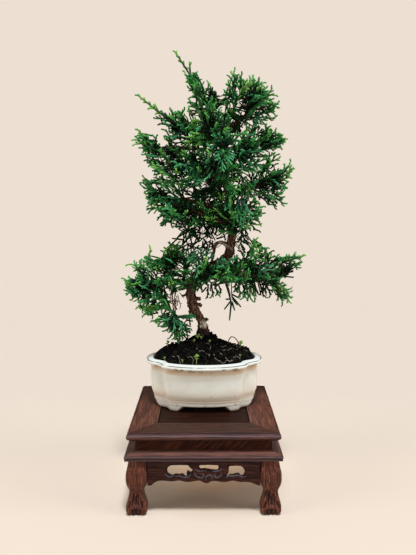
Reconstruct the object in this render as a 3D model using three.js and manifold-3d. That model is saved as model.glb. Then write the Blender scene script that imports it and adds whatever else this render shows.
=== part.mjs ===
// Kishu juniper bonsai in a lobed glazed pot, on a carved wooden stand.
// Millimetres, +Z up. Seen from the front, X runs to the right and Y away from the viewer.
import * as THREE from 'three';
import { mergeVertices } from 'three/addons/utils/BufferGeometryUtils.js';
import Module from 'manifold-3d';

const wasm = await Module();
wasm.setup();

// Clearances between neighbouring pieces
const fitGap = 0.3;
const foliageGap = 0.4;

// Heights above the floor
const apronTop = 57.2;
const mouldingTop = 65;
const waistTop = 76;
const standTop = 85;
const potFloor = 97.4;
const potRim = 138.8;

// Stand plan sizes; an inset is measured inwards from the edge of the square top
const standWidth = 150;
const railWidth = 27.5;
const panelTongue = 4;
const panelGap = 0.7;
const panelUnderside = 78.6;
const tongueTop = 81.4;
const grooveSlack = 0.4;
const beadRadius = 4;
const beadCentre = { inset: 2.9, height: 81 };
const waistInset = 7;
const waistThickness = 8;
const mouldingOverhang = 3.3;
const mouldingInnerInset = 22;
const legInnerFace = 56;
const apronFace = 74.6;
const apronThickness = 4.5;

// Outer face, thickness and height of a leg, from the floor up
const legStations = [
  { height: 0, outer: 74.8, thickness: 16.5 },
  { height: 1.5, outer: 76.8, thickness: 19.6 },
  { height: 5, outer: 77.6, thickness: 21.0 },
  { height: 9, outer: 77.6, thickness: 20.9 },
  { height: 15, outer: 76.9, thickness: 19.4 },
  { height: 19, outer: 75.8, thickness: 16.6 },
  { height: 22.8, outer: 74.5, thickness: 14.6 },
  { height: 25.5, outer: 74.6, thickness: 15.0 },
  { height: 28, outer: 75.5, thickness: 17.2 },
  { height: 31, outer: 76.8, thickness: 20.4 },
  { height: 36.5, outer: 77.6, thickness: 21.6 },
  { height: 42.7, outer: 77.3, thickness: 21.3 },
  { height: 48, outer: 76.1, thickness: 20.1 },
  { height: apronTop, outer: 74.4, thickness: 18.4 },
];

// Apron outlines as [across, height], hand carved and not quite symmetrical
const apronLowerEdge = [
  [-55.7, 31.5], [-52.3, 31.5], [-50.4, 33.1], [-47.9, 34.9], [-45, 36.1], [-41, 36.5], [-35, 36],
  [-31, 35.8], [-25, 36.5], [-21.3, 36], [-17.3, 35.1], [-13.4, 35.1], [-8.5, 36], [-4, 36.3],
  [-1.6, 35.2], [0.9, 33.9], [3.4, 33.7], [5.3, 34.5], [7.3, 35.6], [11.3, 35.9], [16.2, 35.1],
  [21, 34.8], [24, 35.2], [28, 36.2], [32, 35.8], [36, 34.9], [40.8, 34.9], [45.8, 34.5],
  [48.7, 33.6], [51.7, 32.2], [54.6, 31.1], [55.7, 31],
];
const apronOpenings = [
  [
    [-36.6, 46.5], [-35.6, 50.3], [-33.1, 52.1], [-31.1, 52.6], [-16.4, 52.6], [-14.4, 51.2],
    [-12.9, 49.4], [-10.9, 47.8], [-10.4, 46], [-11.6, 43.8], [-14, 43.4], [-15.6, 44.8],
    [-16.4, 43.2], [-15.5, 40.6], [-16.8, 39], [-18.8, 39.5], [-20.3, 41], [-21.8, 41.5],
    [-24.7, 40.8], [-27.7, 41.4], [-29.2, 40.5], [-31.6, 40.2], [-34.3, 41.4], [-36.2, 43.4],
  ],
  [
    [-4.8, 50.5], [-3.6, 52.5], [13, 52.5], [14.8, 51], [15.2, 48.5], [14.2, 45.8], [11.7, 45.2],
    [7.3, 45.7], [3.9, 46.5], [-0.1, 46.9], [-3, 46.4], [-4.5, 47.8],
  ],
  [
    [24.4, 49.5], [25.1, 51.2], [27, 51.7], [35.9, 51.7], [38.4, 50.4], [40.3, 47.8], [41.2, 44.6],
    [40.1, 40.9], [38.4, 39.6], [36.4, 39.6], [35.1, 41.3], [34.4, 41.8], [31, 41.4], [29, 40.5],
    [26.5, 40.8], [24.9, 39.7], [23.6, 39], [21.6, 39.4], [21, 40.5], [22.6, 42.4], [24.1, 44.6],
  ],
];

// Pot plan: a superellipse with a notch towards each corner
const potCentre = new THREE.Vector2(0.4, 16.3);
const potHalfWidth = 65;
const potHalfDepth = 47;
const potSquareness = 2.1;
const notchDepth = 0.08;
const notchAngle = THREE.MathUtils.degToRad(32);
const notchSpread = THREE.MathUtils.degToRad(10);
const potCore = 40;
const potSegments = 48;
const footStart = THREE.MathUtils.degToRad(20);
const footEnd = THREE.MathUtils.degToRad(50);
const footRamp = THREE.MathUtils.degToRad(10.5);
const betweenFeet = 91.6;
const potUnderside = 92.1;
const wallThickness = 9.6;

// Drainage holes, and the mesh and wire that keep the soil in
const drainX = 28;
const drainRadius = 7.5;
const screenWidth = 24;
const screenThickness = 0.8;
const screenHole = 5;
const screenHolePitch = 7;
const wireRadius = 0.6;
const wireReach = 6;
const wireTail = 11.5;

// Soil mound
const soilInset = 8.6;
const soilEdge = 137;
const shoulderRise = 12;
const coneRise = 17;
const coneSpread = 19;
const soilRows = [0.96, 0.86, 0.66, 0.44, 0.22];
const soilLump = { height: 0.9, width: 5.1, depth: 4.3 };

// The plant stands on this point, and its stations are [right, back, height, radius]
const plantingPoint = new THREE.Vector3(0, potCentre.y, 0);
const trunkStations = [
  [0, 0, 150, 10], [-0.5, 0, 160, 8.8], [-1, 0, 169, 7.6], [-2.8, 0, 177, 6.8], [-6, 0, 184, 6],
  [-8.6, -1, 192, 6], [-12, -1, 201, 5.8], [-13, 0, 212, 5.6], [-12, 2, 223, 5.7], [-5, 4, 231, 5.7],
  [6, 4, 238, 5.5], [18, 3, 243, 5.4], [27, 2, 251, 5.2], [30.5, 1, 262, 4.7], [31, 0, 276, 3.8],
  [30.5, 0, 292, 3.6], [27, 1, 310, 3.5], [24, 2, 330, 3.3], [22, 2, 350, 3], [19, 1, 370, 2.6],
  [14, 0, 390, 2.3], [6, 0, 408, 1.9], [-3, 0, 424, 1.4], [-13, 0, 441, 1], [-22, 0, 455, 0.7],
];
const branchStations = [
  // Low on the left, with a hanging branch and a dead stub
  [[-14, 2, 221, 4.2], [-24, 1, 222, 3.8], [-34, 0, 223, 3.2], [-46, 0, 223, 2.6], [-70, -2, 219, 1.2]],
  [[-34, 0, 223, 2.4], [-38, 3, 233, 2], [-38, 6, 246, 1.2]],
  [[-33, 0, 223, 2.2], [-31, -6, 212, 1.8], [-32, -9, 198, 1.5], [-34, -12, 174, 0.9]],
  [[-13, -1, 205, 2.2], [-19, -3, 204, 1.6], [-25, -4, 202, 0.9]],
  // Low on the right, with a hanging sprig, and to the front and back
  [[8, 4, 238, 4], [22, 1, 232, 3.6], [36, -2, 230, 3], [54, -3, 233, 2.4], [90, 0, 233, 1.1]],
  [[26, 0, 231, 1.8], [29, -5, 222, 1.5], [30, -8, 208, 1.2], [30, -8, 192, 0.8]],
  [[16, 3, 242, 3], [26, 16, 240, 2.4], [37, 30, 236, 1.5]],
  [[4, 4, 237, 3], [6, -10, 237, 2.4], [8, -26, 236, 1.4]],
  // The thin branch that loops over the gap beside the trunk
  [[30, 1, 262, 2.4], [22, -3, 267, 2.2], [12, -6, 262, 2], [7, -8, 252, 1.8], [6, -20, 238, 1.1]],
  // Skirt of the crown
  [[31, 0, 284, 3.2], [16, -6, 290, 2.8], [0, -11, 297, 2.2], [-20, -14, 302, 1.4]],
  [[29, 1, 300, 3], [8, 0, 306, 2.6], [-18, 1, 312, 2.2], [-50, 2, 316, 1.2]],
  [[31, 0, 288, 2.6], [39, -6, 295, 2], [41, -12, 302, 1.4]],
  [[31, 0, 290, 2.6], [26, 16, 297, 2.2], [15, 34, 302, 1.4]],
  // Middle of the crown
  [[26, 1, 318, 3.2], [42, 1, 324, 2.8], [56, 1, 329, 2.3], [76, 2, 334, 1.3]],
  [[24, 2, 332, 2.8], [4, -6, 340, 2.4], [-14, -13, 345, 1.9], [-28, -18, 348, 1.2]],
  [[23, 2, 336, 2.8], [18, 18, 342, 2.2], [6, 40, 346, 1.3]],
  [[22, 2, 346, 2.4], [18, -16, 348, 2], [11, -38, 348, 1.2]],
  [[21, 2, 354, 2.6], [32, -8, 359, 2.1], [44, -20, 362, 1.3]],
  [[20, 1, 364, 2.8], [36, 0, 369, 2.3], [54, 1, 374, 1.8], [70, 2, 377, 1.1]],
  [[20, 1, 362, 2.6], [0, 1, 366, 2.2], [-28, 1, 368, 1.8], [-56, 0, 368, 1.1]],
  // Top of the crown
  [[17, 1, 378, 2.2], [14, -12, 384, 1.8], [8, -28, 388, 1.1]],
  [[17, 1, 377, 2.2], [-4, 1, 384, 1.8], [-26, 0, 388, 1.3], [-40, 0, 399, 1], [-54, 0, 409, 0.7]],
  [[18, 1, 374, 2.2], [16, 16, 385, 1.8], [12, 30, 392, 1.1]],
  [[16, 1, 384, 2.4], [30, 0, 392, 2.1], [43, -1, 400, 1.8], [52, -2, 418, 1.1]],
  [[4, 0, 412, 1.6], [7, 1, 417, 1.2], [9, 2, 422, 0.9]],
];

// Foliage clumps: centre, half sizes and lean to the right in degrees
const foliageClumps = [
  { name: 'foliage_leader', centre: [-17, 0, 446], half: [9, 9, 26], lean: -32 },
  { name: 'foliage_apex', centre: [9, 2, 421], half: [18, 20, 17] },
  { name: 'foliage_upper_right', centre: [52, -2, 418], half: [30, 28, 26] },
  { name: 'foliage_left_sprig', centre: [-54, 0, 409], half: [8, 9, 23], lean: -53 },
  { name: 'foliage_upper_left', centre: [-26, 0, 388], half: [22, 25, 22] },
  { name: 'foliage_upper_front', centre: [7, -28, 388], half: [25, 20, 24] },
  { name: 'foliage_upper_back', centre: [12, 30, 392], half: [34, 22, 26] },
  { name: 'foliage_left', centre: [-56, 0, 368], half: [22, 22, 18] },
  { name: 'foliage_right', centre: [70, 2, 377], half: [24, 22, 16] },
  { name: 'foliage_centre_right', centre: [44, -20, 362], half: [23, 24, 22] },
  { name: 'foliage_centre_left', centre: [-28, -18, 348], half: [25, 24, 20] },
  { name: 'foliage_centre_front', centre: [10, -38, 348], half: [24, 18, 22] },
  { name: 'foliage_centre_back', centre: [5, 40, 346], half: [38, 22, 24] },
  { name: 'foliage_lower_right', centre: [76, 2, 334], half: [24, 25, 27] },
  { name: 'foliage_lower_left', centre: [-50, 2, 316], half: [21, 23, 22] },
  { name: 'foliage_skirt_left', centre: [-20, -14, 302], half: [27, 25, 18] },
  { name: 'foliage_skirt_right', centre: [34, -12, 300], half: [31, 28, 23] },
  { name: 'foliage_skirt_back', centre: [14, 34, 302], half: [36, 24, 22] },
  { name: 'foliage_branch_left_tip', centre: [-67, -2, 217], half: [26, 26, 30] },
  { name: 'foliage_branch_left_top', centre: [-38, 6, 246], half: [26, 34, 18] },
  { name: 'foliage_branch_left_hanging', centre: [-34, -12, 174], half: [23, 16, 17] },
  { name: 'foliage_branch_front', centre: [8, -26, 236], half: [28, 20, 17] },
  { name: 'foliage_branch_right_top', centre: [54, -4, 238], half: [24, 24, 22] },
  { name: 'foliage_branch_right_tip', centre: [88, 0, 232], half: [24, 22, 22] },
  { name: 'foliage_branch_right_hanging', centre: [30, -8, 194], half: [10, 9, 18] },
  { name: 'foliage_branch_right_back', centre: [38, 30, 236], half: [32, 20, 20] },
];

// Seedlings, placed from the pot's centre, and the root that loops out of the soil
const seedlings = [
  { name: 'seedling_front', at: [-8, -37], stem: 7, leaf: 3 },
  { name: 'seedling_left', at: [-41, 2], stem: 6, leaf: 2.6 },
  { name: 'seedling_right', at: [41, -3], stem: 6, leaf: 3.2 },
  { name: 'seedling_trunk', at: [-7, -12], stem: 4, leaf: 2.6 },
];
const rootLoop = { from: [27, 2], top: [32, 0], to: [37, -3], rise: 7, radius: 0.8, depth: 3 };

// Solids

function facingOut(geometry) {
  const position = geometry.attributes.position;
  const index = geometry.index;
  const a = new THREE.Vector3();
  const b = new THREE.Vector3();
  const c = new THREE.Vector3();
  let volume = 0;
  for (let i = 0; i < index.count; i += 3) {
    a.fromBufferAttribute(position, index.getX(i));
    b.fromBufferAttribute(position, index.getX(i + 1));
    c.fromBufferAttribute(position, index.getX(i + 2));
    volume += a.dot(b.cross(c));
  }
  if (volume > 0) return geometry;
  for (let i = 0; i < index.count; i += 3) {
    const second = index.getX(i + 1);
    index.setX(i + 1, index.getX(i + 2));
    index.setX(i + 2, second);
  }
  return geometry;
}

function solidOf(source) {
  const bare = source.clone();
  bare.deleteAttribute('normal');
  bare.deleteAttribute('uv');
  const merged = facingOut(mergeVertices(bare, 1e-4));
  return new wasm.Manifold(new wasm.Mesh({
    numProp: 3,
    vertProperties: new Float32Array(merged.attributes.position.array),
    triVerts: new Uint32Array(merged.index.array),
  }));
}

function geometryOf(solid) {
  const mesh = solid.getMesh();
  const geometry = new THREE.BufferGeometry();
  geometry.setAttribute('position', new THREE.BufferAttribute(mesh.vertProperties, 3));
  geometry.setIndex(new THREE.BufferAttribute(mesh.triVerts, 1));
  geometry.computeVertexNormals();
  return geometry;
}

function joined(solids) {
  return solids.reduce((whole, next) => whole.add(next));
}

function largestBody(solid) {
  const bodies = solid.decompose();
  return bodies.reduce((best, body) => (body.volume() > best.volume() ? body : best));
}

// Moves every point of a geometry by a rule
function reshaped(geometry, rule) {
  const position = geometry.attributes.position;
  const point = new THREE.Vector3();
  for (let i = 0; i < position.count; i += 1) {
    point.fromBufferAttribute(position, i);
    rule(point);
    position.setXYZ(i, point.x, point.y, point.z);
  }
  return geometry;
}

function boxSolid(width, depth, low, high, x = 0, y = 0) {
  return solidOf(new THREE.BoxGeometry(width, depth, high - low).translate(x, y, (low + high) / 2));
}

// A tube that tapers from one station of [x, y, z, radius] to the next
function taperedTube(stations, sides, grow = 0) {
  const curve = new THREE.CatmullRomCurve3(stations.map(([x, y, z]) => new THREE.Vector3(x, y, z)));
  const steps = stations.length - 1;
  let normal = new THREE.Vector3(0.36, 0.8, 0.48);
  const rings = stations.map((station, step) => {
    const tangent = curve.getTangent(step / steps);
    normal = normal.clone().addScaledVector(tangent, -normal.dot(tangent)).normalize();
    return { normal, side: tangent.clone().cross(normal), radius: station[3] + grow };
  });
  return solidOf(reshaped(new THREE.CylinderGeometry(1, 1, 1, sides, steps), (point) => {
    const step = Math.round((point.y + 0.5) * steps);
    const { normal: across, side, radius } = rings[step];
    const { x, z } = point;
    point.fromArray(stations[step]);
    point.addScaledVector(across, x * radius).addScaledVector(side, z * radius);
  }));
}

// Stand

// A bar of one side of a square frame, mitred at both ends
function mitredBar(profile) {
  const shape = new THREE.Shape(profile.map(([inset, height]) => new THREE.Vector2(inset, height)));
  const bar = new THREE.ExtrudeGeometry(shape, { depth: 1, bevelEnabled: false });
  return solidOf(reshaped(bar, (point) => {
    const reach = standWidth / 2 - point.x;
    point.set((2 * point.z - 1) * (reach - fitGap / 2), -reach, point.y);
  }));
}

function railProfile() {
  const profile = [];
  for (let degrees = -75; degrees <= 60; degrees += 22.5) {
    const angle = THREE.MathUtils.degToRad(degrees);
    profile.push([
      beadCentre.inset - beadRadius * Math.cos(angle),
      beadCentre.height + beadRadius * Math.sin(angle),
    ]);
  }
  const grooveLow = panelUnderside - grooveSlack;
  const grooveHigh = tongueTop + grooveSlack;
  profile.push([1, standTop], [railWidth, standTop], [railWidth, grooveHigh]);
  profile.push([railWidth - panelTongue, grooveHigh], [railWidth - panelTongue, grooveLow]);
  profile.push([railWidth, grooveLow], [railWidth, waistTop], [3, waistTop]);
  return profile;
}

function waistProfile() {
  const inner = waistInset + waistThickness;
  return [[waistInset, mouldingTop], [inner, mouldingTop], [inner, waistTop], [waistInset, waistTop]];
}

function mouldingProfile() {
  return [
    [-mouldingOverhang, apronTop], [mouldingInnerInset, apronTop], [mouldingInnerInset, mouldingTop],
    [waistInset - 0.4, mouldingTop], [2, 63.4], [-2.4, 62], [-mouldingOverhang, 61.3],
  ];
}

function panelSolid() {
  const visibleWidth = standWidth - 2 * (railWidth + panelGap);
  const tongueWidth = visibleWidth + 2 * (panelTongue + panelGap - 2 * grooveSlack);
  return boxSolid(visibleWidth, visibleWidth, panelUnderside, standTop)
    .add(boxSolid(tongueWidth, tongueWidth, panelUnderside, tongueTop));
}

// A cabriole leg with a clawed foot, in the corner to the right and front
function legSolid() {
  const levels = legStations.length - 1;
  const legSides = 12;
  const sectionPower = 0.4;
  const stretched = (value) => Math.sign(value) * Math.abs(value) ** sectionPower;
  return solidOf(reshaped(new THREE.CylinderGeometry(1, 1, 1, legSides, levels), (point) => {
    const station = legStations[Math.round((point.y + 0.5) * levels)];
    const half = station.thickness / 2;
    const middle = station.outer - half;
    point.set(
      middle + half * stretched(point.x),
      -middle + half * stretched(point.z),
      station.height,
    );
  }));
}

function apronSolid() {
  const asPoints = (outline) => outline.map(([across, height]) => new THREE.Vector2(across, height));
  const end = legInnerFace - fitGap;
  const shape = new THREE.Shape([...asPoints(apronLowerEdge), new THREE.Vector2(end, apronTop),
    new THREE.Vector2(-end, apronTop)]);
  shape.holes = apronOpenings.map((outline) => new THREE.Path(asPoints(outline)));
  const apron = new THREE.ExtrudeGeometry(shape, { depth: apronThickness, bevelEnabled: false });
  return solidOf(reshaped(apron, (point) => point.set(point.x, point.z - apronFace, point.y)));
}

// Pot and soil

function potOutline(angle) {
  const across = Math.abs(Math.cos(angle)) / potHalfWidth;
  const along = Math.abs(Math.sin(angle)) / potHalfDepth;
  const radius = (across ** potSquareness + along ** potSquareness) ** (-1 / potSquareness);
  const fromAxis = Math.atan2(Math.abs(Math.sin(angle)), Math.abs(Math.cos(angle)));
  return radius * (1 - notchDepth * Math.exp(-(((fromAxis - notchAngle) / notchSpread) ** 2)));
}

// Distance from the pot's centre of a point whose inset from the rim is given
function potRadius(angle, inset) {
  const coreInset = potHalfWidth - potCore;
  const nominal = potHalfWidth - inset;
  if (nominal >= potCore) return potOutline(angle) - inset;
  return (nominal / potCore) * (potOutline(angle) - coreInset);
}

// Turns a profile of [inset, height] about the pot's centre, following its lobed plan
function lobedTurning(profile, segments, heightRule = (height) => height) {
  const points = profile.map(([inset, height]) => new THREE.Vector2(potHalfWidth - inset, height));
  return solidOf(reshaped(new THREE.LatheGeometry(points, segments), (point) => {
    const nominal = Math.hypot(point.x, point.z);
    const angle = Math.atan2(point.x, point.z);
    const radius = nominal < 1e-6 ? 0 : potRadius(angle, potHalfWidth - nominal);
    const height = heightRule(point.y, angle, radius);
    point.set(potCentre.x + radius * Math.cos(angle), potCentre.y + radius * Math.sin(angle), height);
  }));
}

// Height of the foot ring: down to the stand at each corner, up between the corners
function footHeight(angle) {
  const fromAxis = Math.atan2(Math.abs(Math.sin(angle)), Math.abs(Math.cos(angle)));
  const rise = THREE.MathUtils.smoothstep(fromAxis, footStart - footRamp, footStart);
  const fall = 1 - THREE.MathUtils.smoothstep(fromAxis, footEnd, footEnd + footRamp);
  return THREE.MathUtils.lerp(betweenFeet, standTop, rise * fall);
}

// Rows of the profile with a height of 1 or less are on the foot, at that share of its drop
function potSolid() {
  const profile = [
    [potHalfWidth, potUnderside], [21, potUnderside], [19.6, 1], [13.4, 1], [11.9, 0.8],
    [11.2, betweenFeet + 0.15], [9.8, 92.3], [8.4, 95.2], [7.2, 97.8], [6.9, 99.8], [5.7, 103],
    [4.8, 113], [4.9, 131.5], [0.3, 134], [0, 136], [0.9, 137], [7.5, potRim], [9.2, 130],
    [wallThickness, 110], [13, potFloor + 1.7], [18, potFloor], [potHalfWidth, potFloor],
  ];
  const body = lobedTurning(profile, potSegments, (height, angle) => (
    height <= 1 ? THREE.MathUtils.lerp(betweenFeet, footHeight(angle), height) : height
  ));
  return [-drainX, drainX].reduce((pot, x) => pot.subtract(drainHole(x)), body);
}

function drainHole(x) {
  const depth = 14;
  const hole = new THREE.CylinderGeometry(drainRadius, drainRadius, depth, 20).rotateX(Math.PI / 2);
  return solidOf(hole.translate(potCentre.x + x, potCentre.y, potFloor));
}

function soilHeight(x, y) {
  const away = Math.hypot(x, y);
  const ratio = Math.min(1, away / (potOutline(Math.atan2(y, x)) - soilInset));
  const shoulder = shoulderRise * (1 - ratio ** 8);
  const cone = coneRise * Math.exp(-((away / coneSpread) ** 2));
  const wave = Math.sin(x / soilLump.width) * Math.cos(y / soilLump.depth);
  const lumps = soilLump.height * wave * (1 - ratio ** 4);
  return soilEdge + shoulder + cone + lumps;
}

function soilSolid(pockets) {
  const topRow = 0;
  const wallReach = potHalfWidth - soilInset;
  const profile = [
    [potHalfWidth, potFloor + fitGap], [18.4, potFloor + fitGap], [13.4, potFloor + 2],
    [wallThickness + 0.4, 110.2], [wallThickness, 130], [soilInset, soilEdge],
    ...soilRows.map((ratio) => [potHalfWidth - wallReach * ratio, topRow]),
    [potHalfWidth, topRow],
  ];
  const mound = lobedTurning(profile, potSegments, (height, angle, radius) => (
    height === topRow ? soilHeight(radius * Math.cos(angle), radius * Math.sin(angle)) : height
  ));
  return largestBody(pockets.reduce((soil, pocket) => soil.subtract(pocket), mound));
}

// Drainage fittings

// The space in the soil for a screen and the wire over it
function screenPocket(x) {
  const width = screenWidth + 2;
  const height = 4;
  return boxSolid(width, width, potFloor - 1, potFloor + height, potCentre.x + x, potCentre.y);
}

function screenSolid(x) {
  const low = potFloor + fitGap;
  const high = low + screenThickness;
  const middle = [potCentre.x + x, potCentre.y];
  let screen = boxSolid(screenWidth, screenWidth, low, high, ...middle);
  for (const column of [-1, 0, 1]) {
    for (const row of [-1, 0, 1]) {
      const place = [middle[0] + column * screenHolePitch, middle[1] + row * screenHolePitch];
      screen = screen.subtract(boxSolid(screenHole, screenHole, low - 1, high + 1, ...place));
    }
  }
  return screen;
}

function stapleSolid(x) {
  const over = potFloor + fitGap + screenThickness + fitGap + wireRadius;
  const under = potUnderside - fitGap - wireRadius;
  const corners = [[-wireTail, under], [-wireReach - 1, under], [-wireReach, under + 1],
    [-wireReach, over - 1], [-wireReach + 1, over], [wireReach - 1, over], [wireReach, over - 1],
    [wireReach, under + 1], [wireReach + 1, under], [wireTail, under]];
  const stations = corners.map(([across, height]) => (
    [potCentre.x + x + across, potCentre.y, height, wireRadius]
  ));
  return taperedTube(stations, 6);
}

// Plant

function onPlant(stations) {
  return stations.map(([x, y, z, radius]) => [x + plantingPoint.x, y + plantingPoint.y, z, radius]);
}

// Trunk and branches as one solid, or the space that they need when grown
function plantWood(grow = 0) {
  const trunk = taperedTube(onPlant(trunkStations), 8, grow);
  const branches = branchStations.map((stations) => taperedTube(onPlant(stations), 5, grow));
  return joined([trunk, ...branches]);
}

function clumpBall(clump) {
  const lean = THREE.MathUtils.degToRad(clump.lean ?? 0);
  const ball = new THREE.IcosahedronGeometry(1, 1).scale(...clump.half).rotateY(lean);
  const [x, y, z] = clump.centre;
  return solidOf(ball.translate(x + plantingPoint.x, y + plantingPoint.y, z));
}

// How far a clump reaches from its centre in a direction
function clumpReach(clump, direction) {
  const lean = THREE.MathUtils.degToRad(clump.lean ?? 0);
  const local = direction.clone().applyAxisAngle(new THREE.Vector3(0, 1, 0), -lean);
  return local.multiply(new THREE.Vector3(...clump.half)).length();
}

// The block that holds all that lies beyond the plane between two clumps
function beyondNeighbour(clump, other) {
  const from = new THREE.Vector3(...clump.centre);
  const towards = new THREE.Vector3(...other.centre).sub(from);
  const distance = towards.length();
  towards.normalize();
  const own = clumpReach(clump, towards);
  const others = clumpReach(other, towards);
  if (own + others < distance) return null;
  const size = 200;
  const middle = (distance * own) / (own + others) - foliageGap / 2 + size / 2;
  const turn = new THREE.Quaternion().setFromUnitVectors(new THREE.Vector3(0, 0, 1), towards);
  const block = new THREE.BoxGeometry(size, size, size).applyQuaternion(turn);
  const place = from.addScaledVector(towards, middle).add(plantingPoint);
  return solidOf(block.translate(place.x, place.y, place.z));
}

function clumpSolid(clump, woodSpace) {
  let solid = clumpBall(clump);
  for (const other of foliageClumps) {
    const block = other === clump ? null : beyondNeighbour(clump, other);
    if (block) solid = solid.subtract(block);
  }
  return largestBody(solid.subtract(woodSpace));
}

// Small plants and the root on the soil

function soilPoint([x, y], above = 0) {
  return [potCentre.x + x, potCentre.y + y, soilHeight(x, y) + above];
}

function seedlingStem(seedling, grow = 0) {
  const thickness = 0.6;
  const stations = [
    [...soilPoint(seedling.at, -2.5), thickness],
    [...soilPoint(seedling.at, seedling.stem / 2), thickness],
    [...soilPoint(seedling.at, seedling.stem), thickness],
  ];
  return taperedTube(stations, 6, grow);
}

function seedlingSolid(seedling) {
  const top = new THREE.Vector3(...soilPoint(seedling.at, seedling.stem));
  const leaves = [-1, 1].map((side) => {
    const leaf = new THREE.IcosahedronGeometry(seedling.leaf, 0).scale(1, 0.55, 0.3);
    leaf.rotateY(-side * 0.5).translate(side * seedling.leaf * 0.8, 0, seedling.leaf * 0.35);
    return solidOf(leaf.translate(top.x, top.y, top.z));
  });
  return joined([seedlingStem(seedling), ...leaves]);
}

function rootSolid(grow = 0) {
  const { from, top, to, rise, radius, depth } = rootLoop;
  const stations = [soilPoint(from, -depth), soilPoint(from, rise * 0.6), soilPoint(top, rise),
    soilPoint(to, rise * 0.5), soilPoint(to, -depth)];
  return taperedTube(stations.map((place) => [...place, radius]), 6, grow);
}

// Materials

function matt(color, roughness) {
  return new THREE.MeshStandardMaterial({ color, roughness, metalness: 0 });
}

const rosewood = matt(0x4a2c22, 0.45);
const glaze = matt(0xd8d1c4, 0.25);
const peat = matt(0x15110f, 0.95);
const bark = matt(0x5a3d2f, 0.9);
const needles = matt(0x1f5a35, 0.6);
const sprout = matt(0x6f9a3a, 0.6);
const mesh = matt(0x2b2f33, 0.7);
const wire = new THREE.MeshStandardMaterial({ color: 0xb9bcc0, roughness: 0.4, metalness: 1 });

// Assembly

const bonsai = new THREE.Group();

function addPiece(name, solid, material, quarterTurns = 0) {
  const piece = new THREE.Mesh(geometryOf(solid), material);
  piece.name = name;
  piece.rotation.z = (quarterTurns * Math.PI) / 2;
  bonsai.add(piece);
}

function addStand() {
  addPiece('stand_top_panel', panelSolid(), rosewood);
  const sides = ['front', 'right', 'back', 'left'];
  const corners = ['front_right', 'back_right', 'back_left', 'front_left'];
  sides.forEach((side, turns) => {
    addPiece(`stand_top_rail_${side}`, mitredBar(railProfile()), rosewood, turns);
    addPiece(`stand_waist_${side}`, mitredBar(waistProfile()), rosewood, turns);
    addPiece(`stand_moulding_${side}`, mitredBar(mouldingProfile()), rosewood, turns);
    addPiece(`stand_apron_${side}`, apronSolid(), rosewood, turns);
    addPiece(`stand_leg_${corners[turns]}`, legSolid(), rosewood, turns);
  });
}

function addPot() {
  addPiece('pot', potSolid(), glaze);
  [['left', -drainX], ['right', drainX]].forEach(([side, x]) => {
    addPiece(`drain_screen_${side}`, screenSolid(x), mesh);
    addPiece(`drain_wire_${side}`, stapleSolid(x), wire);
  });
}

function addPlant() {
  const woodSpace = plantWood(fitGap);
  const pockets = [woodSpace, screenPocket(-drainX), screenPocket(drainX), rootSolid(fitGap),
    ...seedlings.map((seedling) => seedlingStem(seedling, fitGap))];
  addPiece('soil', soilSolid(pockets), peat);
  addPiece('trunk_and_branches', plantWood(), bark);
  foliageClumps.forEach((clump) => addPiece(clump.name, clumpSolid(clump, woodSpace), needles));
  addPiece('root_loop', rootSolid(), bark);
  seedlings.forEach((seedling) => addPiece(seedling.name, seedlingSolid(seedling), sprout));
}

addStand();
addPot();
addPlant();

// The origin is on the floor, under the middle of the whole object
const extent = new THREE.Box3().setFromObject(bonsai);
const middle = extent.getCenter(new THREE.Vector3());
bonsai.position.set(-middle.x, -middle.y, -extent.min.z);

export default bonsai;
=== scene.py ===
import math
from collections import namedtuple

import bpy
import numpy as np
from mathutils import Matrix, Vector, noise
from mathutils.geometry import tessellate_polygon


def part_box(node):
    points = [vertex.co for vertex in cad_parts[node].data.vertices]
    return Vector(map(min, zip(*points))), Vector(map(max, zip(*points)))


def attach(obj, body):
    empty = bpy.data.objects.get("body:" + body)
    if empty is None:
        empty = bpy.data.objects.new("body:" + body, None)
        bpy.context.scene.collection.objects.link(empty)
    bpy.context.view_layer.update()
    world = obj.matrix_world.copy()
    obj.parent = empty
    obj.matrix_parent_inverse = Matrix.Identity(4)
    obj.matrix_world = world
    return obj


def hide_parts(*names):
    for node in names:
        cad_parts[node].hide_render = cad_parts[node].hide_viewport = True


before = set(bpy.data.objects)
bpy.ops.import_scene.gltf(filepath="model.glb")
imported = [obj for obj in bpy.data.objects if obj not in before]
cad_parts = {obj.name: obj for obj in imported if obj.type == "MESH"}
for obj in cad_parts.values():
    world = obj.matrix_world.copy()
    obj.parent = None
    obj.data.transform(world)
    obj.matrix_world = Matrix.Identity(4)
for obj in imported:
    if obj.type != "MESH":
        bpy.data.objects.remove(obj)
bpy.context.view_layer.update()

MM = 0.001
rng = np.random.default_rng(20)

# Places taken from the frame, in millimetres
panel_low, panel_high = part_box("stand_top_panel")
STAND_X = (panel_low.x + panel_high.x) / 2 / MM
STAND_Y = (panel_low.y + panel_high.y) / 2 / MM
STAND_TOP = panel_high.z / MM
pot_low, pot_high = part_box("pot")
POT_X = (pot_low.x + pot_high.x) / 2 / MM - STAND_X
POT_Y = (pot_low.y + pot_high.y) / 2 / MM - STAND_Y
# The planting point, from which the tree is measured: on the floor, under the foot of the trunk
PLANT = np.array([0.0, POT_Y, 0.0])

# Camera, in pixels of the photo and in millimetres from the middle of the stand
IMAGE_HEIGHT = 555
FOCAL_PIXELS = 560.0
PITCH = math.radians(7.07)
# How far the point to which the stand's edges run is to the left of the picture's middle
VANISHING_LEFT = 3.2
YAW = math.atan(VANISHING_LEFT / FOCAL_PIXELS)
CAMERA_FROM_STAND = np.array([1.2, -599.3, 303.5])

# Driving dimensions of the stand, in millimetres from its middle and from the floor
HALF_TOP = 75.0
RAIL_LOW = 76.0
PANEL_INSET = 27.5
MITRE_GAP = 0.15
WAIST_LOW = 65.0
APRON_TOP = 57.2
APRON_BOTTOM = 30.0
APRON_END = 55.7
APRON_MIDDLE = -72.35
APRON_FACE = -74.6
CARVED_DEPTH = 2.0
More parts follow.
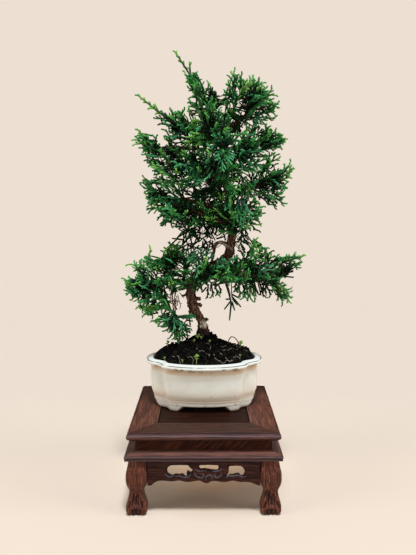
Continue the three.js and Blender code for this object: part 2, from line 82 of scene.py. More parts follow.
# Insets under this are on a bar's outer edge, and above this height the edge gets a painted highlight
EDGE_INSET = -0.6
HIGHLIGHT_ABOVE = 81.6

# Driving dimensions of the pot and the soil. Insets are measured from the rim's outline.
POT_HALF_WIDTH = 65.0
POT_HALF_DEPTH = 47.0
OVAL_POWER = 2.1
FOLD_DEPTH = 0.075
# Degrees from the pot's long axis at which a fold and a foot begin, are full, begin to fade and end
FOLD_ANGLES = (14, 27, 28, 40)
FOOT_ANGLES = (9.5, 20.0, 47.5, 58.5)
POT_CORE = 40.0
POT_UNDERSIDE = 92.1
POT_FLOOR = 97.4
BETWEEN_FEET = 91.6
DRAIN_RADIUS = 7.5
DRAIN_FROM_MIDDLE = 28.0
SOIL_INSET = 8.6
SOIL_EDGE = 137.0
SHOULDER_RISE = 12.0
CONE_RISE = 17.0
CONE_WIDTH = 19.0

# Driving dimensions of the tree
BARK_VOXEL = 0.62
SHOOT_RADIUS = 0.9
CROWN_FOOT = 258.0
UPPER_TRUNK = 288.0
COVERED_WIDTH = 7.0
EDGE_MARGIN = 2.2
POCKET_DEPTH = 16.0

# How densely the clumps are filled: sprays to a square millimetre of a clump's surface, near-black sprays
# inside it as painted shade, how many sprays are seen one behind another, how many are added for that at
# most, and how many cells may stay open
OUTER_DENSITY = 0.031
INNER_SHADE_SPRAYS = 26
FULL_COVER = 1.6
MOST_FILLING = 1500
OPEN_CELLS_LEFT = 40
# The cells of the front view in which this is counted, in millimetres from the planting point
CELL = 1.6
MAP_CORNER = np.array([-100.0, 145.0])
MAP_SHAPE = (142, 208)


# Mesh building

def row_frame(points):
    """Points in millimetres from the stand's centre, as metres in the row frame."""
    return (np.asarray(points, float) + [STAND_X, STAND_Y, 0.0]) * MM


def placed(name, data):
    """A new object in the scene."""
    thing = bpy.data.objects.new(name, data)
    bpy.context.scene.collection.objects.link(thing)
    return thing


def link_mesh(name, mesh, material, replaced):
    """A visible piece. replaced names the nodes of the frame that it stands for."""
    piece = placed(name, mesh)
    mesh.materials.clear()
    mesh.materials.append(material)
    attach(piece, "root")
    if replaced:
        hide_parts(*replaced)
    return piece


def mark(mesh, key, values):
    """Gives each vertex a number or a vector, which the materials read by its name."""
    values = np.asarray(values, np.float32)
    is_number = values.ndim == 1
    layer = mesh.attributes.new(key, "FLOAT" if is_number else "FLOAT_VECTOR", "POINT")
    layer.data.foreach_set("value" if is_number else "vector", values.ravel())


def mesh_from(name, vertices, faces, marks=None, smooth=True):
    """A mesh from vertices in millimetres and groups of faces, each with one number of corners."""
    mesh = bpy.data.meshes.new(name)
    groups = [np.asarray(group, np.int32) for group in faces if len(group)]
    corners = np.concatenate([group.ravel() for group in groups])
    sizes = np.concatenate([np.full(len(group), group.shape[1]) for group in groups])
    starts = np.concatenate([[0], np.cumsum(sizes)[:-1]])
    mesh.vertices.add(len(vertices))
    mesh.vertices.foreach_set("co", row_frame(vertices).astype(np.float32).ravel())
    mesh.loops.add(len(corners))
    mesh.loops.foreach_set("vertex_index", corners)
    mesh.polygons.add(len(sizes))
    mesh.polygons.foreach_set("loop_start", starts.astype(np.int32))
    mesh.polygons.foreach_set("use_smooth", np.full(len(sizes), smooth))
    for key, values in (marks or {}).items():
        mark(mesh, key, values)
    mesh.update(calc_edges=True)
    mesh.validate()
    return mesh


def vertex_values(mesh, key):
    values = np.empty(len(mesh.vertices) * 3)
    mesh.vertices.foreach_get(key, values)
    return values.reshape(-1, 3)


def shade_smooth(mesh):
    for polygon in mesh.polygons:
        polygon.use_smooth = True


def flip_if_inside_out(mesh):
    points = vertex_values(mesh, "co")
    mesh.calc_loop_triangles()
    triangles = np.empty(len(mesh.loop_triangles) * 3, np.int32)
    mesh.loop_triangles.foreach_get("vertices", triangles)
    a, b, c = points[triangles.reshape(-1, 3)].transpose(1, 0, 2)
    if np.einsum("ij,ij->i", a, np.cross(b, c)).sum() < 0:
        mesh.flip_normals()


def joined(parts):
    """Puts parts together. A part is its vertices and one or more groups of faces."""
    vertices, faces = [], []
    start = 0
    for points, *groups in parts:
        vertices.append(points)
        faces += [group + start for group in groups]
        start += len(points)
    return np.concatenate(vertices), faces


def skin(rings, sides, flipped=False):
    """The faces of a closed solid made of rings of points: those between the rings, then each end."""
    level, side = np.meshgrid(np.arange(rings - 1), np.arange(sides), indexing="ij")
    first = level * sides + side
    second = level * sides + (side + 1) % sides
    quads = np.stack([first, second, second + sides, first + sides], -1).reshape(-1, 4)
    ring = np.arange(sides)[None]
    ends = [ring[:, ::-1], ring + (rings - 1) * sides]
    if flipped:
        return [quads[:, [0, 3, 2, 1]]] + [end[:, ::-1] for end in ends]
    return [quads] + ends


GOLDEN = (1 + 5 ** 0.5) / 2


def full_turn(steps):
    return np.arange(steps) * 2 * math.pi / steps


def unit(vectors):
    return vectors / np.maximum(np.linalg.norm(vectors, axis=-1, keepdims=True), 1e-9)


def tubes(points, radii, sides):
    """Closed tapering tubes: points (count, rings, 3) and radii (count, rings). The last ring is a tip."""
    count, rings, _ = points.shape
    tangent = unit(np.gradient(points, axis=1))
    helper = np.where(np.abs(tangent[:, :1, 2:]) > 0.8, [[[1.0, 0.0, 0.0]]], [[[0.0, 0.0, 1.0]]])
    across = unit(np.cross(tangent, np.broadcast_to(helper, tangent.shape)))
    other = np.cross(tangent, across)
    turn = full_turn(sides)[:, None]
    ring = across[:, :-1, None] * np.cos(turn) + other[:, :-1, None] * np.sin(turn)
    body = points[:, :-1, None] + ring * radii[:, :-1, None, None]
    vertices = np.concatenate([body.reshape(count, -1, 3), points[:, -1:]], axis=1).reshape(-1, 3)
    side = np.arange(sides)
    last = (rings - 2) * sides
    per_tube = last + sides + 1
    tip = np.stack([last + side, last + (side + 1) % sides, np.full(sides, per_tube - 1)], -1)
    cap = np.stack([np.zeros(sides - 2, int), side[2:], side[1:-1]], -1)
    offset = (np.arange(count) * per_tube)[:, None, None]
    quads = (skin(rings - 1, sides)[0] + offset).reshape(-1, 4)
    triangles = (np.concatenate([tip, cap]) + offset).reshape(-1, 3)
    return vertices, quads, triangles


def per_ring(values, rings, sides):
    """Repeats a value of (count, rings) for each vertex that tubes() makes."""
    values = np.broadcast_to(values, (values.shape[0], rings))
    body = np.repeat(values[:, :-1], sides, axis=1)
    return np.concatenate([body, values[:, -1:]], axis=1).ravel()


def curve_between(a, b, c, d, t):
    """A smooth curve from b to c, given the points before and after them."""
    return 0.5 * (2 * b + (c - a) * t + (2 * a - 5 * b + 4 * c - d) * t ** 2
                  + (3 * b - a - 3 * c + d) * t ** 3)


def spline(stations, per_step):
    """A smooth curve through stations of any number of values each."""
    stations = np.asarray(stations, float)
    padded = np.concatenate([[2 * stations[0] - stations[1]], stations, [2 * stations[-1] - stations[-2]]])
    rows = []
    for i in range(1, len(padded) - 2):
        for t in np.arange(per_step) / per_step:
            rows.append(curve_between(*padded[i - 1:i + 3], t))
    rows.append(stations[-1])
    return np.array(rows)


def smooth_step(value, low, high):
    share = np.clip((value - low) / (high - low), 0, 1)
    return share * share * (3 - 2 * share)


def rise_and_fall(value, begin, full, fading, end):
    return smooth_step(value, begin, full) * (1 - smooth_step(value, fading, end))


def fractal(points, scale, octaves, offset=0.0):
    """Fractal noise of about -1 to 1 at each point, in millimetres, with features of about scale."""
    step = np.asarray(scale, float)
    values = [noise.fractal(Vector(p) + Vector((offset, 0, 0)), 0.6, 2.0, octaves) for p in points / step]
    return np.array(values)


# Node helpers

class Nodes:
    """A short way to build a material's nodes."""

    def __init__(self, name):
        self.material = bpy.data.materials.new(name)
        self.material.use_nodes = True
        self.tree = self.material.node_tree
        self.shader = self.tree.nodes["Principled BSDF"]

    def add(self, kind, settings=None, **inputs):
        node = self.tree.nodes.new(kind)
        for key, value in (settings or {}).items():
            setattr(node, key, value)
        for key, value in inputs.items():
            self.plug(node, key.replace("_", " "), value)
        return node

    def plug(self, node, key, value):
        socket = node.inputs[int(key)] if key.isdigit() else node.inputs[key]
        if isinstance(value, tuple) and len(value) == 3 and len(socket.default_value) == 4:
            value = (*value, 1.0)
        if isinstance(value, bpy.types.NodeSocket):
            self.tree.links.new(value, socket)
        else:
            socket.default_value = value

    def plug_all(self, node, numbers, values):
        """Gives values to the inputs with these numbers."""
        for key, value in zip(numbers, values):
            self.plug(node, key, value)

    def attribute(self, name, output="Fac"):
        return self.add("ShaderNodeAttribute", {"attribute_name": name}).outputs[output]

    def position(self):
        return self.add("ShaderNodeTexCoord").outputs["Object"]

    def stretched(self, vector, scale):
        return self.add("ShaderNodeMapping", Vector=vector, Scale=scale).outputs["Vector"]

    def noise(self, vector, scale, detail=4.0, roughness=0.55, distortion=0.0):
        node = self.add("ShaderNodeTexNoise", Vector=vector, Scale=scale, Detail=detail,
                        Roughness=roughness, Distortion=distortion)
        return node.outputs["Fac"]

    def ramp(self, value, stops):
        node = self.add("ShaderNodeValToRGB", Fac=value)
        elements = node.color_ramp.elements
        while len(elements) < len(stops):
            elements.new(0.5)
        for element, (place, color) in zip(elements, stops):
            element.position = place
            element.color = (*color, 1.0)
        return node.outputs["Color"]

    def between(self, value, low, high, to_low=0.0, to_high=1.0):
        node = self.add("ShaderNodeMapRange", {"clamp": True})
        self.plug_all(node, "01234", (value, low, high, to_low, to_high))
        return node.outputs[0]

    def math(self, operation, first, second=0.0):
        node = self.add("ShaderNodeMath", {"operation": operation})
        self.plug_all(node, "01", (first, second))
        return node.outputs[0]

    def times(self, first, second):
        return self.math("MULTIPLY", first, second)

    def plus(self, first, second):
        return self.math("ADD", first, second)

    def mix(self, factor, first, second, blend="MIX"):
        node = self.add("ShaderNodeMix", {"data_type": "RGBA", "blend_type": blend})
        self.plug_all(node, "067", (factor, first, second))
        return node.outputs[2]

    def bump(self, height, strength, distance):
        node = self.add("ShaderNodeBump", Height=height, Strength=strength, Distance=distance)
        self.plug(self.shader, "Normal", node.outputs["Normal"])

    def finish(self, color, roughness, specular=0.5, metallic=0.0):
        self.plug(self.shader, "Base Color", color)
        self.plug(self.shader, "Roughness", roughness)
        self.plug(self.shader, "Specular IOR Level", specular)
        self.plug(self.shader, "Metallic", metallic)
        return self.material


def srgb(red, green, blue):
    """A display colour of 0 to 255 as linear light."""
    values = [channel / 255 for channel in (red, green, blue)]
    return tuple(v / 12.92 if v <= 0.04045 else ((v + 0.055) / 1.055) ** 2.4 for v in values)


# Materials

def rosewood():
    """Dark reddish wood: pores and streaks run along the Y axis of grain. Twice tone scales the colour; the
    tones set on the frame's pieces are partly painted light. Glossy places are greyed as a painted sheen and
    turned bluish as a painted highlight, and grooves are darkened as painted shade.
    """
    nodes = Nodes("rosewood")
    grain = nodes.attribute("grain", "Vector")
    streaks = nodes.noise(nodes.stretched(grain, (0.9, 0.035, 0.9)), 1.0, 6.0, 0.62, 0.5)
    pores = nodes.noise(nodes.stretched(grain, (4.2, 0.14, 4.2)), 1.0, 3.0, 0.7)
    fine = nodes.noise(nodes.stretched(grain, (1.6, 0.06, 1.6)), 1.0, 5.0, 0.7)
    wear_and_highlight = nodes.noise(nodes.stretched(grain, (0.8, 0.3, 0.8)), 1.0, 5.0, 0.75)
    color = nodes.ramp(streaks, [(0.38, srgb(38, 16, 10)), (0.5, srgb(80, 42, 28)),
                                 (0.62, srgb(124, 72, 50))])
    color = nodes.mix(nodes.between(fine, 0.35, 0.65, 0.5, 0.0), color, srgb(28, 12, 9))
    color = nodes.mix(nodes.between(pores, 0.54, 0.66), color, srgb(10, 4, 3))
    color = nodes.mix(nodes.between(wear_and_highlight, 0.62, 0.7, 0.0, 0.55), color, srgb(158, 120, 104))
    gloss_and_painted_sheen = nodes.attribute("gloss_and_painted_sheen")
    # Painted sheen greys the glossy places, and a painted highlight turns the glossiest bluish
    color = nodes.mix(nodes.times(gloss_and_painted_sheen, 0.6), color, srgb(76, 58, 53))
    color = nodes.mix(nodes.between(gloss_and_painted_sheen, 0.7, 1.0, 0.0, 0.7), color, srgb(58, 58, 70))
    twice_tone = nodes.ramp(nodes.attribute("tone"), [(0.0, (0, 0, 0)), (1.0, (2, 2, 2))])
    color = nodes.mix(1.0, color, twice_tone, "MULTIPLY")
    # Painted shade: darkens carved grooves on the legs and the band beside the panel's groove
    color = nodes.mix(nodes.attribute("crevice_shade"), color, srgb(8, 4, 3))
    nodes.bump(nodes.plus(pores, nodes.times(fine, 0.6)), 0.4, 0.0004)
    nodes.shader.inputs["Specular Tint"].default_value = (0.7, 0.78, 1.0, 1.0)
    roughness = nodes.between(pores, 0.4, 0.7, 0.4, 0.62)
    return nodes.finish(color, roughness, nodes.between(gloss_and_painted_sheen, 0.0, 1.0, 0.05, 0.8))


def glaze():
    """Cream glaze, whiter low down as painted light and whiter on the rim, tan in bands under the rim and
    low on the wall, with bare clay under the feet.
    """
    nodes = Nodes("glaze")
    place = nodes.position()
    broad = nodes.noise(place, 45.0, 4.0)
    fine = nodes.noise(place, 380.0, 3.0)
    color = nodes.ramp(broad, [(0.3, srgb(214, 218, 212)), (0.7, srgb(230, 235, 231))])
    height = nodes.add("ShaderNodeSeparateXYZ", Vector=place).outputs["Z"]
    # Painted light: the glaze is whitened low on the wall, lifting the shade there
    color = nodes.mix(nodes.between(height, 0.098, 0.116, 1.0, 0.0), color, srgb(250, 246, 234))
    # Tan in bands under the rim and low on the wall
    pool = nodes.times(nodes.attribute("pool"), nodes.between(broad, 0.25, 0.7, 0.65, 1.15))
    color = nodes.mix(pool, color, srgb(196, 172, 144))
    color = nodes.mix(nodes.attribute("rim_top"), color, srgb(216, 223, 221))
    broken = nodes.between(nodes.noise(place, 120.0, 4.0), 0.25, 0.5)
    color = nodes.mix(nodes.times(nodes.attribute("rim_line"), broken), color, srgb(84, 86, 80))
    chipped = nodes.between(nodes.noise(place, 95.0, 3.0), 0.54, 0.58)
    color = nodes.mix(nodes.times(nodes.attribute("chip_zone"), chipped), color, srgb(112, 74, 44))
    specks = nodes.between(nodes.noise(place, 330.0, 1.0), 0.74, 0.78)
    color = nodes.mix(nodes.times(specks, 0.6), color, srgb(120, 96, 72))
    clay = nodes.attribute("clay")
    color = nodes.mix(clay, color, srgb(92, 62, 44))
    nodes.bump(nodes.plus(nodes.times(broad, 0.8), nodes.times(fine, 0.12)), 0.25, 0.0008)
    nodes.shader.inputs["Coat Weight"].default_value = 0.15
    nodes.shader.inputs["Coat Roughness"].default_value = 0.1
    return nodes.finish(color, nodes.plus(nodes.times(clay, 0.5), 0.25), 0.4)


def peat():
    nodes = Nodes("peat")
    place = nodes.position()
    coarse = nodes.noise(place, 215.0, 6.0, 0.7)
    fine = nodes.noise(place, 1500.0, 4.0, 0.7)
    color = nodes.ramp(coarse, [(0.42, srgb(1, 1, 1)), (0.54, srgb(8, 8, 7)), (0.7, srgb(46, 44, 38))])
    fibres = nodes.between(nodes.noise(nodes.stretched(place, (1.0, 0.25, 0.6)), 900.0, 3.0), 0.68, 0.74)
    color = nodes.mix(nodes.times(fibres, 0.5), color, srgb(84, 72, 58))
    specks = nodes.between(nodes.noise(place, 640.0, 2.0), 0.68, 0.72)
    color = nodes.mix(nodes.times(specks, 0.7), color, srgb(112, 112, 100))
    nodes.bump(nodes.plus(coarse, nodes.times(fine, 0.5)), 0.9, 0.0024)
    return nodes.finish(color, 0.9, 0.07)


def bark():
    nodes = Nodes("bark")
    place = nodes.position()
    flakes = nodes.noise(nodes.stretched(place, (1.0, 1.0, 0.35)), 420.0, 6.0, 0.7, 0.8)
    patches = nodes.noise(place, 110.0, 4.0)
    color = nodes.ramp(flakes, [(0.36, srgb(18, 10, 7)), (0.46, srgb(66, 42, 31)),
                                (0.54, srgb(106, 74, 57)), (0.64, srgb(158, 128, 108))])
    color = nodes.mix(nodes.between(patches, 0.5, 0.7, 0.0, 0.55), color, srgb(96, 56, 38))
    bleached = nodes.ramp(flakes, [(0.38, srgb(128, 120, 110)), (0.58, srgb(214, 208, 198))])
    color = nodes.mix(nodes.attribute("deadwood"), color, bleached)
    color = nodes.mix(nodes.between(nodes.attribute("shade"), 0.0, 1.0, 0.0, 0.85), color, srgb(13, 8, 6))
    nodes.bump(flakes, 0.9, 0.0012)
    return nodes.finish(color, 0.85, 0.3)


def juniper():
    """Scale-leaf shoots. The attribute look picks the kind of spray, its lowest values being near-black
    painted shade for sprays inside and under the foliage, and tip goes from old growth to new.
    """
    nodes = Nodes("juniper_shoots")
    tip = nodes.attribute("tip")
    look = nodes.attribute("look")
    # Looks below about 0.2 are near-black: painted shade inside and under the foliage
    old = nodes.ramp(look, [(0.0, srgb(2, 10, 4)), (0.2, srgb(3, 26, 8)), (0.45, srgb(7, 50, 18)),
                            (0.66, srgb(14, 62, 20)), (0.75, srgb(8, 52, 30)),
                            (0.84, srgb(10, 64, 40)), (0.93, srgb(10, 64, 40)), (0.97, srgb(84, 64, 44))])
    new = nodes.ramp(look, [(0.0, srgb(10, 32, 14)), (0.2, srgb(26, 84, 38)), (0.45, srgb(66, 158, 80)),
                            (0.66, srgb(132, 192, 80)), (0.75, srgb(58, 146, 84)),
                            (0.84, srgb(74, 160, 106)), (0.93, srgb(74, 160, 106)),
                            (0.97, srgb(168, 146, 114))])
    color = nodes.mix(nodes.between(tip, 0.32, 0.92), old, new)
    color = nodes.mix(nodes.between(tip, 0.03, 0.08, 1.0, 0.0), color, srgb(34, 28, 18))
    scales = nodes.math("SINE", nodes.times(nodes.attribute("along"), 5.2))
    nodes.bump(scales, 0.4, 0.0002)
    return nodes.finish(color, 0.5, 0.14)


def mottled(name, scale, detail, stops, bump, roughness, specular=0.5, metallic=0.0):
    """Two colours that change with a fine noise. bump gives its strength and its height in metres."""
    nodes = Nodes(name)
    tone = nodes.noise(nodes.position(), scale, detail)
    nodes.bump(tone, *bump)
    return nodes.finish(nodes.ramp(tone, stops), roughness, specular, metallic)


def leafy():
    stops = [(0.3, srgb(96, 136, 56)), (0.7, srgb(158, 186, 100))]
    return mottled("seedling_leaf", 420.0, 3.0, stops, (0.3, 0.0004), 0.5, 0.4)


def rootlet():
    stops = [(0.35, srgb(104, 98, 88)), (0.7, srgb(170, 166, 154))]
    return mottled("rootlet", 500.0, 4.0, stops, (0.4, 0.0003), 0.8, 0.3)


def dark_plastic():
    stops = [(0.3, srgb(36, 38, 40)), (0.7, srgb(60, 62, 64))]
    return mottled("screen_plastic", 300.0, 3.0, stops, (0.2, 0.0002), 0.6)


def bright_wire():
    stops = [(0.3, srgb(150, 150, 150)), (0.7, srgb(200, 200, 202))]
    return mottled("wire", 600.0, 3.0, stops, (0.2, 0.0001), 0.4, metallic=1.0)


# Stand

QUARTER_TURNS = {"front": 0, "right": 1, "back": 2, "left": 3}


def turned(points, quarters):
    """Points turned round the stand's middle by a number of right angles."""
    sine, cosine = math.sin(quarters * math.pi / 2), math.cos(quarters * math.pi / 2)
    return points @ np.array([[cosine, -sine, 0], [sine, cosine, 0], [0, 0, 1]]).T


def arc(centre, radius, start, end, steps):
    angles = np.radians(np.linspace(start, end, steps))
    return [(centre[0] - radius * math.cos(a), centre[1] + radius * math.sin(a)) for a in angles]


def mitred_bar(name, profile, quarters, material, tones, gloss_and_painted_sheens, slant=0.0):
    """One side of a square frame, from a loop of (inset, height) with a tone and a gloss for each point,
    both partly painted light.
    """
    rows = 40
    profile = np.array(profile)
    reach = HALF_TOP - profile[:, 0]
    along = np.linspace(-1, 1, rows)[:, None] * (reach - MITRE_GAP)
    across = np.broadcast_to(-reach, along.shape)
    height = np.broadcast_to(profile[:, 1], along.shape)
    points = np.stack([along, across, height], -1).reshape(-1, 3)
    right, back, up = points.T
    grain = np.stack([back, right * math.cos(slant) + up * math.sin(slant),
                      up * math.cos(slant) - right * math.sin(slant)], -1) + rng.uniform(0, 400, 3)
    marks = {"grain": grain, "tone": np.tile(tones, rows), "gloss_and_painted_sheen": np.tile(gloss_and_painted_sheens, rows)}
    faces = skin(rows, len(profile), flipped=True)
    mesh = mesh_from(name, turned(points, quarters), faces, marks, smooth=False)
    flip_if_inside_out(mesh)
    wear_edges(link_mesh(name + "_wood", mesh, material, [name]))


def wear_edges(piece):
    bevel = piece.modifiers.new("worn_edges", "BEVEL")
    bevel.width = 0.25 * MM
    bevel.segments = 2
    bevel.limit_method = "ANGLE"
    bevel.angle_limit = math.radians(32)
    piece.modifiers.new("shading", "WEIGHTED_NORMAL").keep_sharp = True
    shade_smooth(piece.data)


def rail_profile():
    bead = arc((2.9, 81.0), 4.0, -78, 52, 15)
    quirk = [(0.8, 84.0), (1.2, 83.4), (1.7, 84.1), (2.1, STAND_TOP)]
    groove = [(PANEL_INSET, 81.8), (23.5, 81.8), (23.5, 78.2), (PANEL_INSET, 78.2)]
    return bead + quirk + [(PANEL_INSET, STAND_TOP)] + groove + [(PANEL_INSET, RAIL_LOW), (3.0, RAIL_LOW)]


def moulding_profile():
    foot = [(-2.7, APRON_TOP), (-2.9, 59.2), (-2.3, 59.6), (-2.3, 60.0)]
    lip = [(-3.3, 60.3), (-3.3, 61.4), (-2.7, 61.9)]
    slope = [(0.2, 62.6), (3.0, 63.6), (5.2, 64.5), (6.6, WAIST_LOW)]
    return foot + lip + slope + [(22.0, WAIST_LOW), (22.0, APRON_TOP)]


def waist_profile():
    return [(7.0, WAIST_LOW), (7.0, RAIL_LOW), (15.0, RAIL_LOW), (15.0, WAIST_LOW)]


def banded(profile, inside, edge, wear_and_highlight=None):
    """A value for each point of a profile: inside, on the outer edge, and on that edge's upper part, where a
    highlight is painted.
    """
    inset, height = np.array(profile).T
    on_edge = inset < EDGE_INSET
    highlight_band = on_edge & (height > HIGHLIGHT_ABOVE)
    return np.select([highlight_band, on_edge], [edge if wear_and_highlight is None else wear_and_highlight, edge], inside)


def add_frame_bars(wood):
    rail, waist, moulding = rail_profile(), waist_profile(), moulding_profile()
    # Painted light: the side rails are lighter and the front and back rails darker as the light falls on
    # them, the moulding's top is lighter than its edge, and the bead's upper edge carries a painted
    # highlight
    rail_painted_light_tones = {"front": 0.31, "right": 0.7, "back": 0.4, "left": 0.62}
    for side, quarters in QUARTER_TURNS.items():
        mitred_bar(f"stand_top_rail_{side}", rail, quarters, wood,
                   banded(rail, rail_painted_light_tones[side], 0.6, 0.9), banded(rail, 0.24, 0.4, 1.0))
        mitred_bar(f"stand_waist_{side}", waist, quarters, wood,
                   banded(waist, 0.33, 0.33), banded(waist, 0.0, 0.0), slant=0.75)
        mitred_bar(f"stand_moulding_{side}", moulding, quarters, wood,
                   banded(moulding, 0.82, 0.4), banded(moulding, 0.6, 0.6))


def add_panel(wood):
    """The square panel, with its tongue, as a stack of square outlines."""
    name = "stand_top_panel"
    visible = HALF_TOP - PANEL_INSET - 0.7
    tongue = visible + 3.4
    levels = [(0.0, 78.6), (tongue, 78.6), (tongue, 81.4), (visible, 81.4), (visible, STAND_TOP - 0.3)]
    levels += [(reach, STAND_TOP) for reach in (visible - 0.3, visible - 1.0, visible - 1.3, 0.0)]
    # Painted shade: the panel's sides and the band beside its groove are near-black, and its top is darker
    # than the rails, partly dark wood and partly painted shadow of the pot
    painted_shade_levels = (5, 6)
    steps = 12
    share = np.arange(steps)[:, None] / steps
    corners = np.array([[-1, -1], [1, -1], [1, 1], [-1, 1]], float)
    edge = np.concatenate([a + (b - a) * share for a, b in zip(corners, np.roll(corners, -1, axis=0))])
    rings = [np.column_stack([edge * max(reach, 0.01), np.full(len(edge), height)])
             for reach, height in levels]
    points = np.concatenate(rings)
    marks = {
        "grain": points[:, [1, 0, 2]] + 777,
        "tone": np.where(points[:, 2] < STAND_TOP - 0.1, 0.02, 0.13),
        "crevice_shade": np.repeat(np.where(np.isin(np.arange(len(levels)), painted_shade_levels), 0.9, 0.0), len(edge)),
    }
    mesh = mesh_from(name, points, skin(len(levels), len(edge)), marks, smooth=False)
    flip_if_inside_out(mesh)
    link_mesh(name + "_wood", mesh, wood, [name])


LEG_STATIONS = [  # height, outer face, thickness
    (0.0, 74.2, 15.4), (1.0, 76.0, 18.2), (3.0, 77.4, 20.6), (6.0, 77.7, 21.1), (9.0, 77.4, 20.3),
    (12.5, 76.6, 18.6), (16.0, 75.6, 16.6), (20.0, 74.7, 15.0), (23.5, 74.3, 14.4), (26.0, 74.8, 15.4),
    (28.5, 75.8, 17.8), (31.5, 76.9, 20.4), (36.5, 77.6, 21.6), (42.7, 77.3, 21.3), (48.0, 76.1, 20.1),
    (APRON_TOP, 74.4, 18.4),
]
# Carved lines on the two outer faces, as across from the middle of the leg and height
LEG_GROOVES = [
    (-4.3, 6.5, -4.6, 0), (0, 7, 0, 0), (4.3, 6.5, 4.6, 0), (-3.8, 11, -2.8, 22), (3.6, 11, 2.6, 21),
    (0.1, 12, 0.2, 19), (-7.5, 8.5, -6.0, 14), (7.5, 8.5, 6.0, 14),
]


def leg_outline(sides):
    """A rounded square from -1 to 1."""
    waves = np.stack([np.cos(full_turn(sides)), np.sin(full_turn(sides))], -1)
    return np.sign(waves) * np.abs(waves) ** 0.42


def carving(square, half, height):
    """How deep the carved lines cut all round the leg at a height, from 0 to 1."""
    depth = np.zeros(len(square))
    outer_faces = ((-square[:, 1], square[:, 0] * half), (square[:, 0], square[:, 1] * half))
    for x0, z0, x1, z1 in LEG_GROOVES:
        line = np.array([x1 - x0, z1 - z0])
        for facing, across in outer_faces:
            away = np.stack([across - x0, np.full(len(across), height - z0)], -1)
            along = np.clip(away @ line / (line @ line), 0, 1)
            gap = np.linalg.norm(away - along[:, None] * line, axis=1)
            depth = np.maximum(depth, np.exp(-((gap / 0.8) ** 2)) * np.clip((facing - 0.75) * 8, 0, 1))
    return depth


def leg_mesh(name, quarters):
    """A cabriole leg with carved toes, in the corner to the right and front, then turned."""
    sides = 128
    square = leg_outline(sides)
    rings, crevices = [], []
    for height, outer, thickness in spline(LEG_STATIONS, 6):
        half = thickness / 2
        middle = outer - half
        depth = carving(square, half, height)
        # Painted shade: the carved grooves are darkened, most near the toes
        darkness, darkest = (1.4, 0.95) if height < 8 else (1.0, 0.75)
        crevices.append(np.clip((depth - 0.2) * darkness, 0, darkest))
        reach = half - CARVED_DEPTH * depth
        rings.append(np.stack([middle + reach * square[:, 0], -middle + reach * square[:, 1],
                               np.full(sides, height)], -1))
    points = np.concatenate(rings)
    marks = {
        "grain": points[:, [0, 2, 1]] + rng.uniform(0, 300, 3), "tone": np.full(len(points), 0.66),
        "gloss_and_painted_sheen": np.full(len(points), 0.15), "crevice_shade": np.concatenate(crevices),
    }
    mesh = mesh_from(name, turned(points, quarters), skin(len(rings), sides), marks)
    flip_if_inside_out(mesh)
    return mesh


def add_legs(wood):
    for quarters, corner in enumerate(("front_right", "back_right", "back_left", "front_left")):
        name = f"stand_leg_{corner}"
        link_mesh(name + "_wood", leg_mesh(name, quarters), wood, [name])


# The apron seen from the front, as (across, height): its lower edge, and the openings cut through it
APRON_LOWER = [
    (-APRON_END, 31.5), (-52.3, 31.5), (-50.4, 33.1), (-47.9, 34.9), (-45, 36.1), (-41, 36.5), (-35, 36),
    (-31, 35.8), (-25, 36.5), (-21.3, 36), (-17.3, 35.1), (-13.4, 35.1), (-8.5, 36), (-4, 36.3),
    (-1.6, 35.2), (0.9, 33.9), (3.4, 33.7), (5.3, 34.5), (7.3, 35.6), (11.3, 35.9), (16.2, 35.1),
    (21, 34.8), (24, 35.2), (28, 36.2), (32, 35.8), (36, 34.9), (40.8, 34.9), (45.8, 34.5), (48.7, 33.6),
    (51.7, 32.2), (54.6, 31.1),
    (APRON_END, 31),
]
APRON_OPENINGS = [
    [(-36.6, 46.5), (-35.6, 50.3), (-33.1, 52.1), (-31.1, 52.6), (-16.4, 52.6), (-14.4, 51.2),
     (-12.9, 49.4), (-10.9, 47.8), (-10.4, 46), (-11.6, 43.8), (-14, 43.4), (-15.6, 44.8), (-16.4, 43.2),
     (-15.5, 40.6), (-16.8, 39), (-18.8, 39.5), (-20.3, 41), (-21.8, 41.5), (-24.7, 40.8), (-27.7, 41.4),
     (-29.2, 40.5), (-31.6, 40.2), (-34.3, 41.4), (-36.2, 43.4)],
    [(-4.8, 50.5), (-3.6, 52.5), (13, 52.5), (14.8, 51), (15.2, 48.5), (14.2, 45.8), (11.7, 45.2),
     (7.3, 45.7), (3.9, 46.5), (-0.1, 46.9), (-3, 46.4), (-4.5, 47.8)],
    [(24.4, 49.5), (25.1, 51.2), (27, 51.7), (35.9, 51.7), (38.4, 50.4), (40.3, 47.8), (41.2, 44.6),
     (40.1, 40.9), (38.4, 39.6), (36.4, 39.6), (35.1, 41.3), (34.4, 41.8), (31, 41.4), (29, 40.5),
     (26.5, 40.8), (24.9, 39.7), (23.6, 39), (21.6, 39.4), (21, 40.5), (22.6, 42.4), (24.1, 44.6)],
]
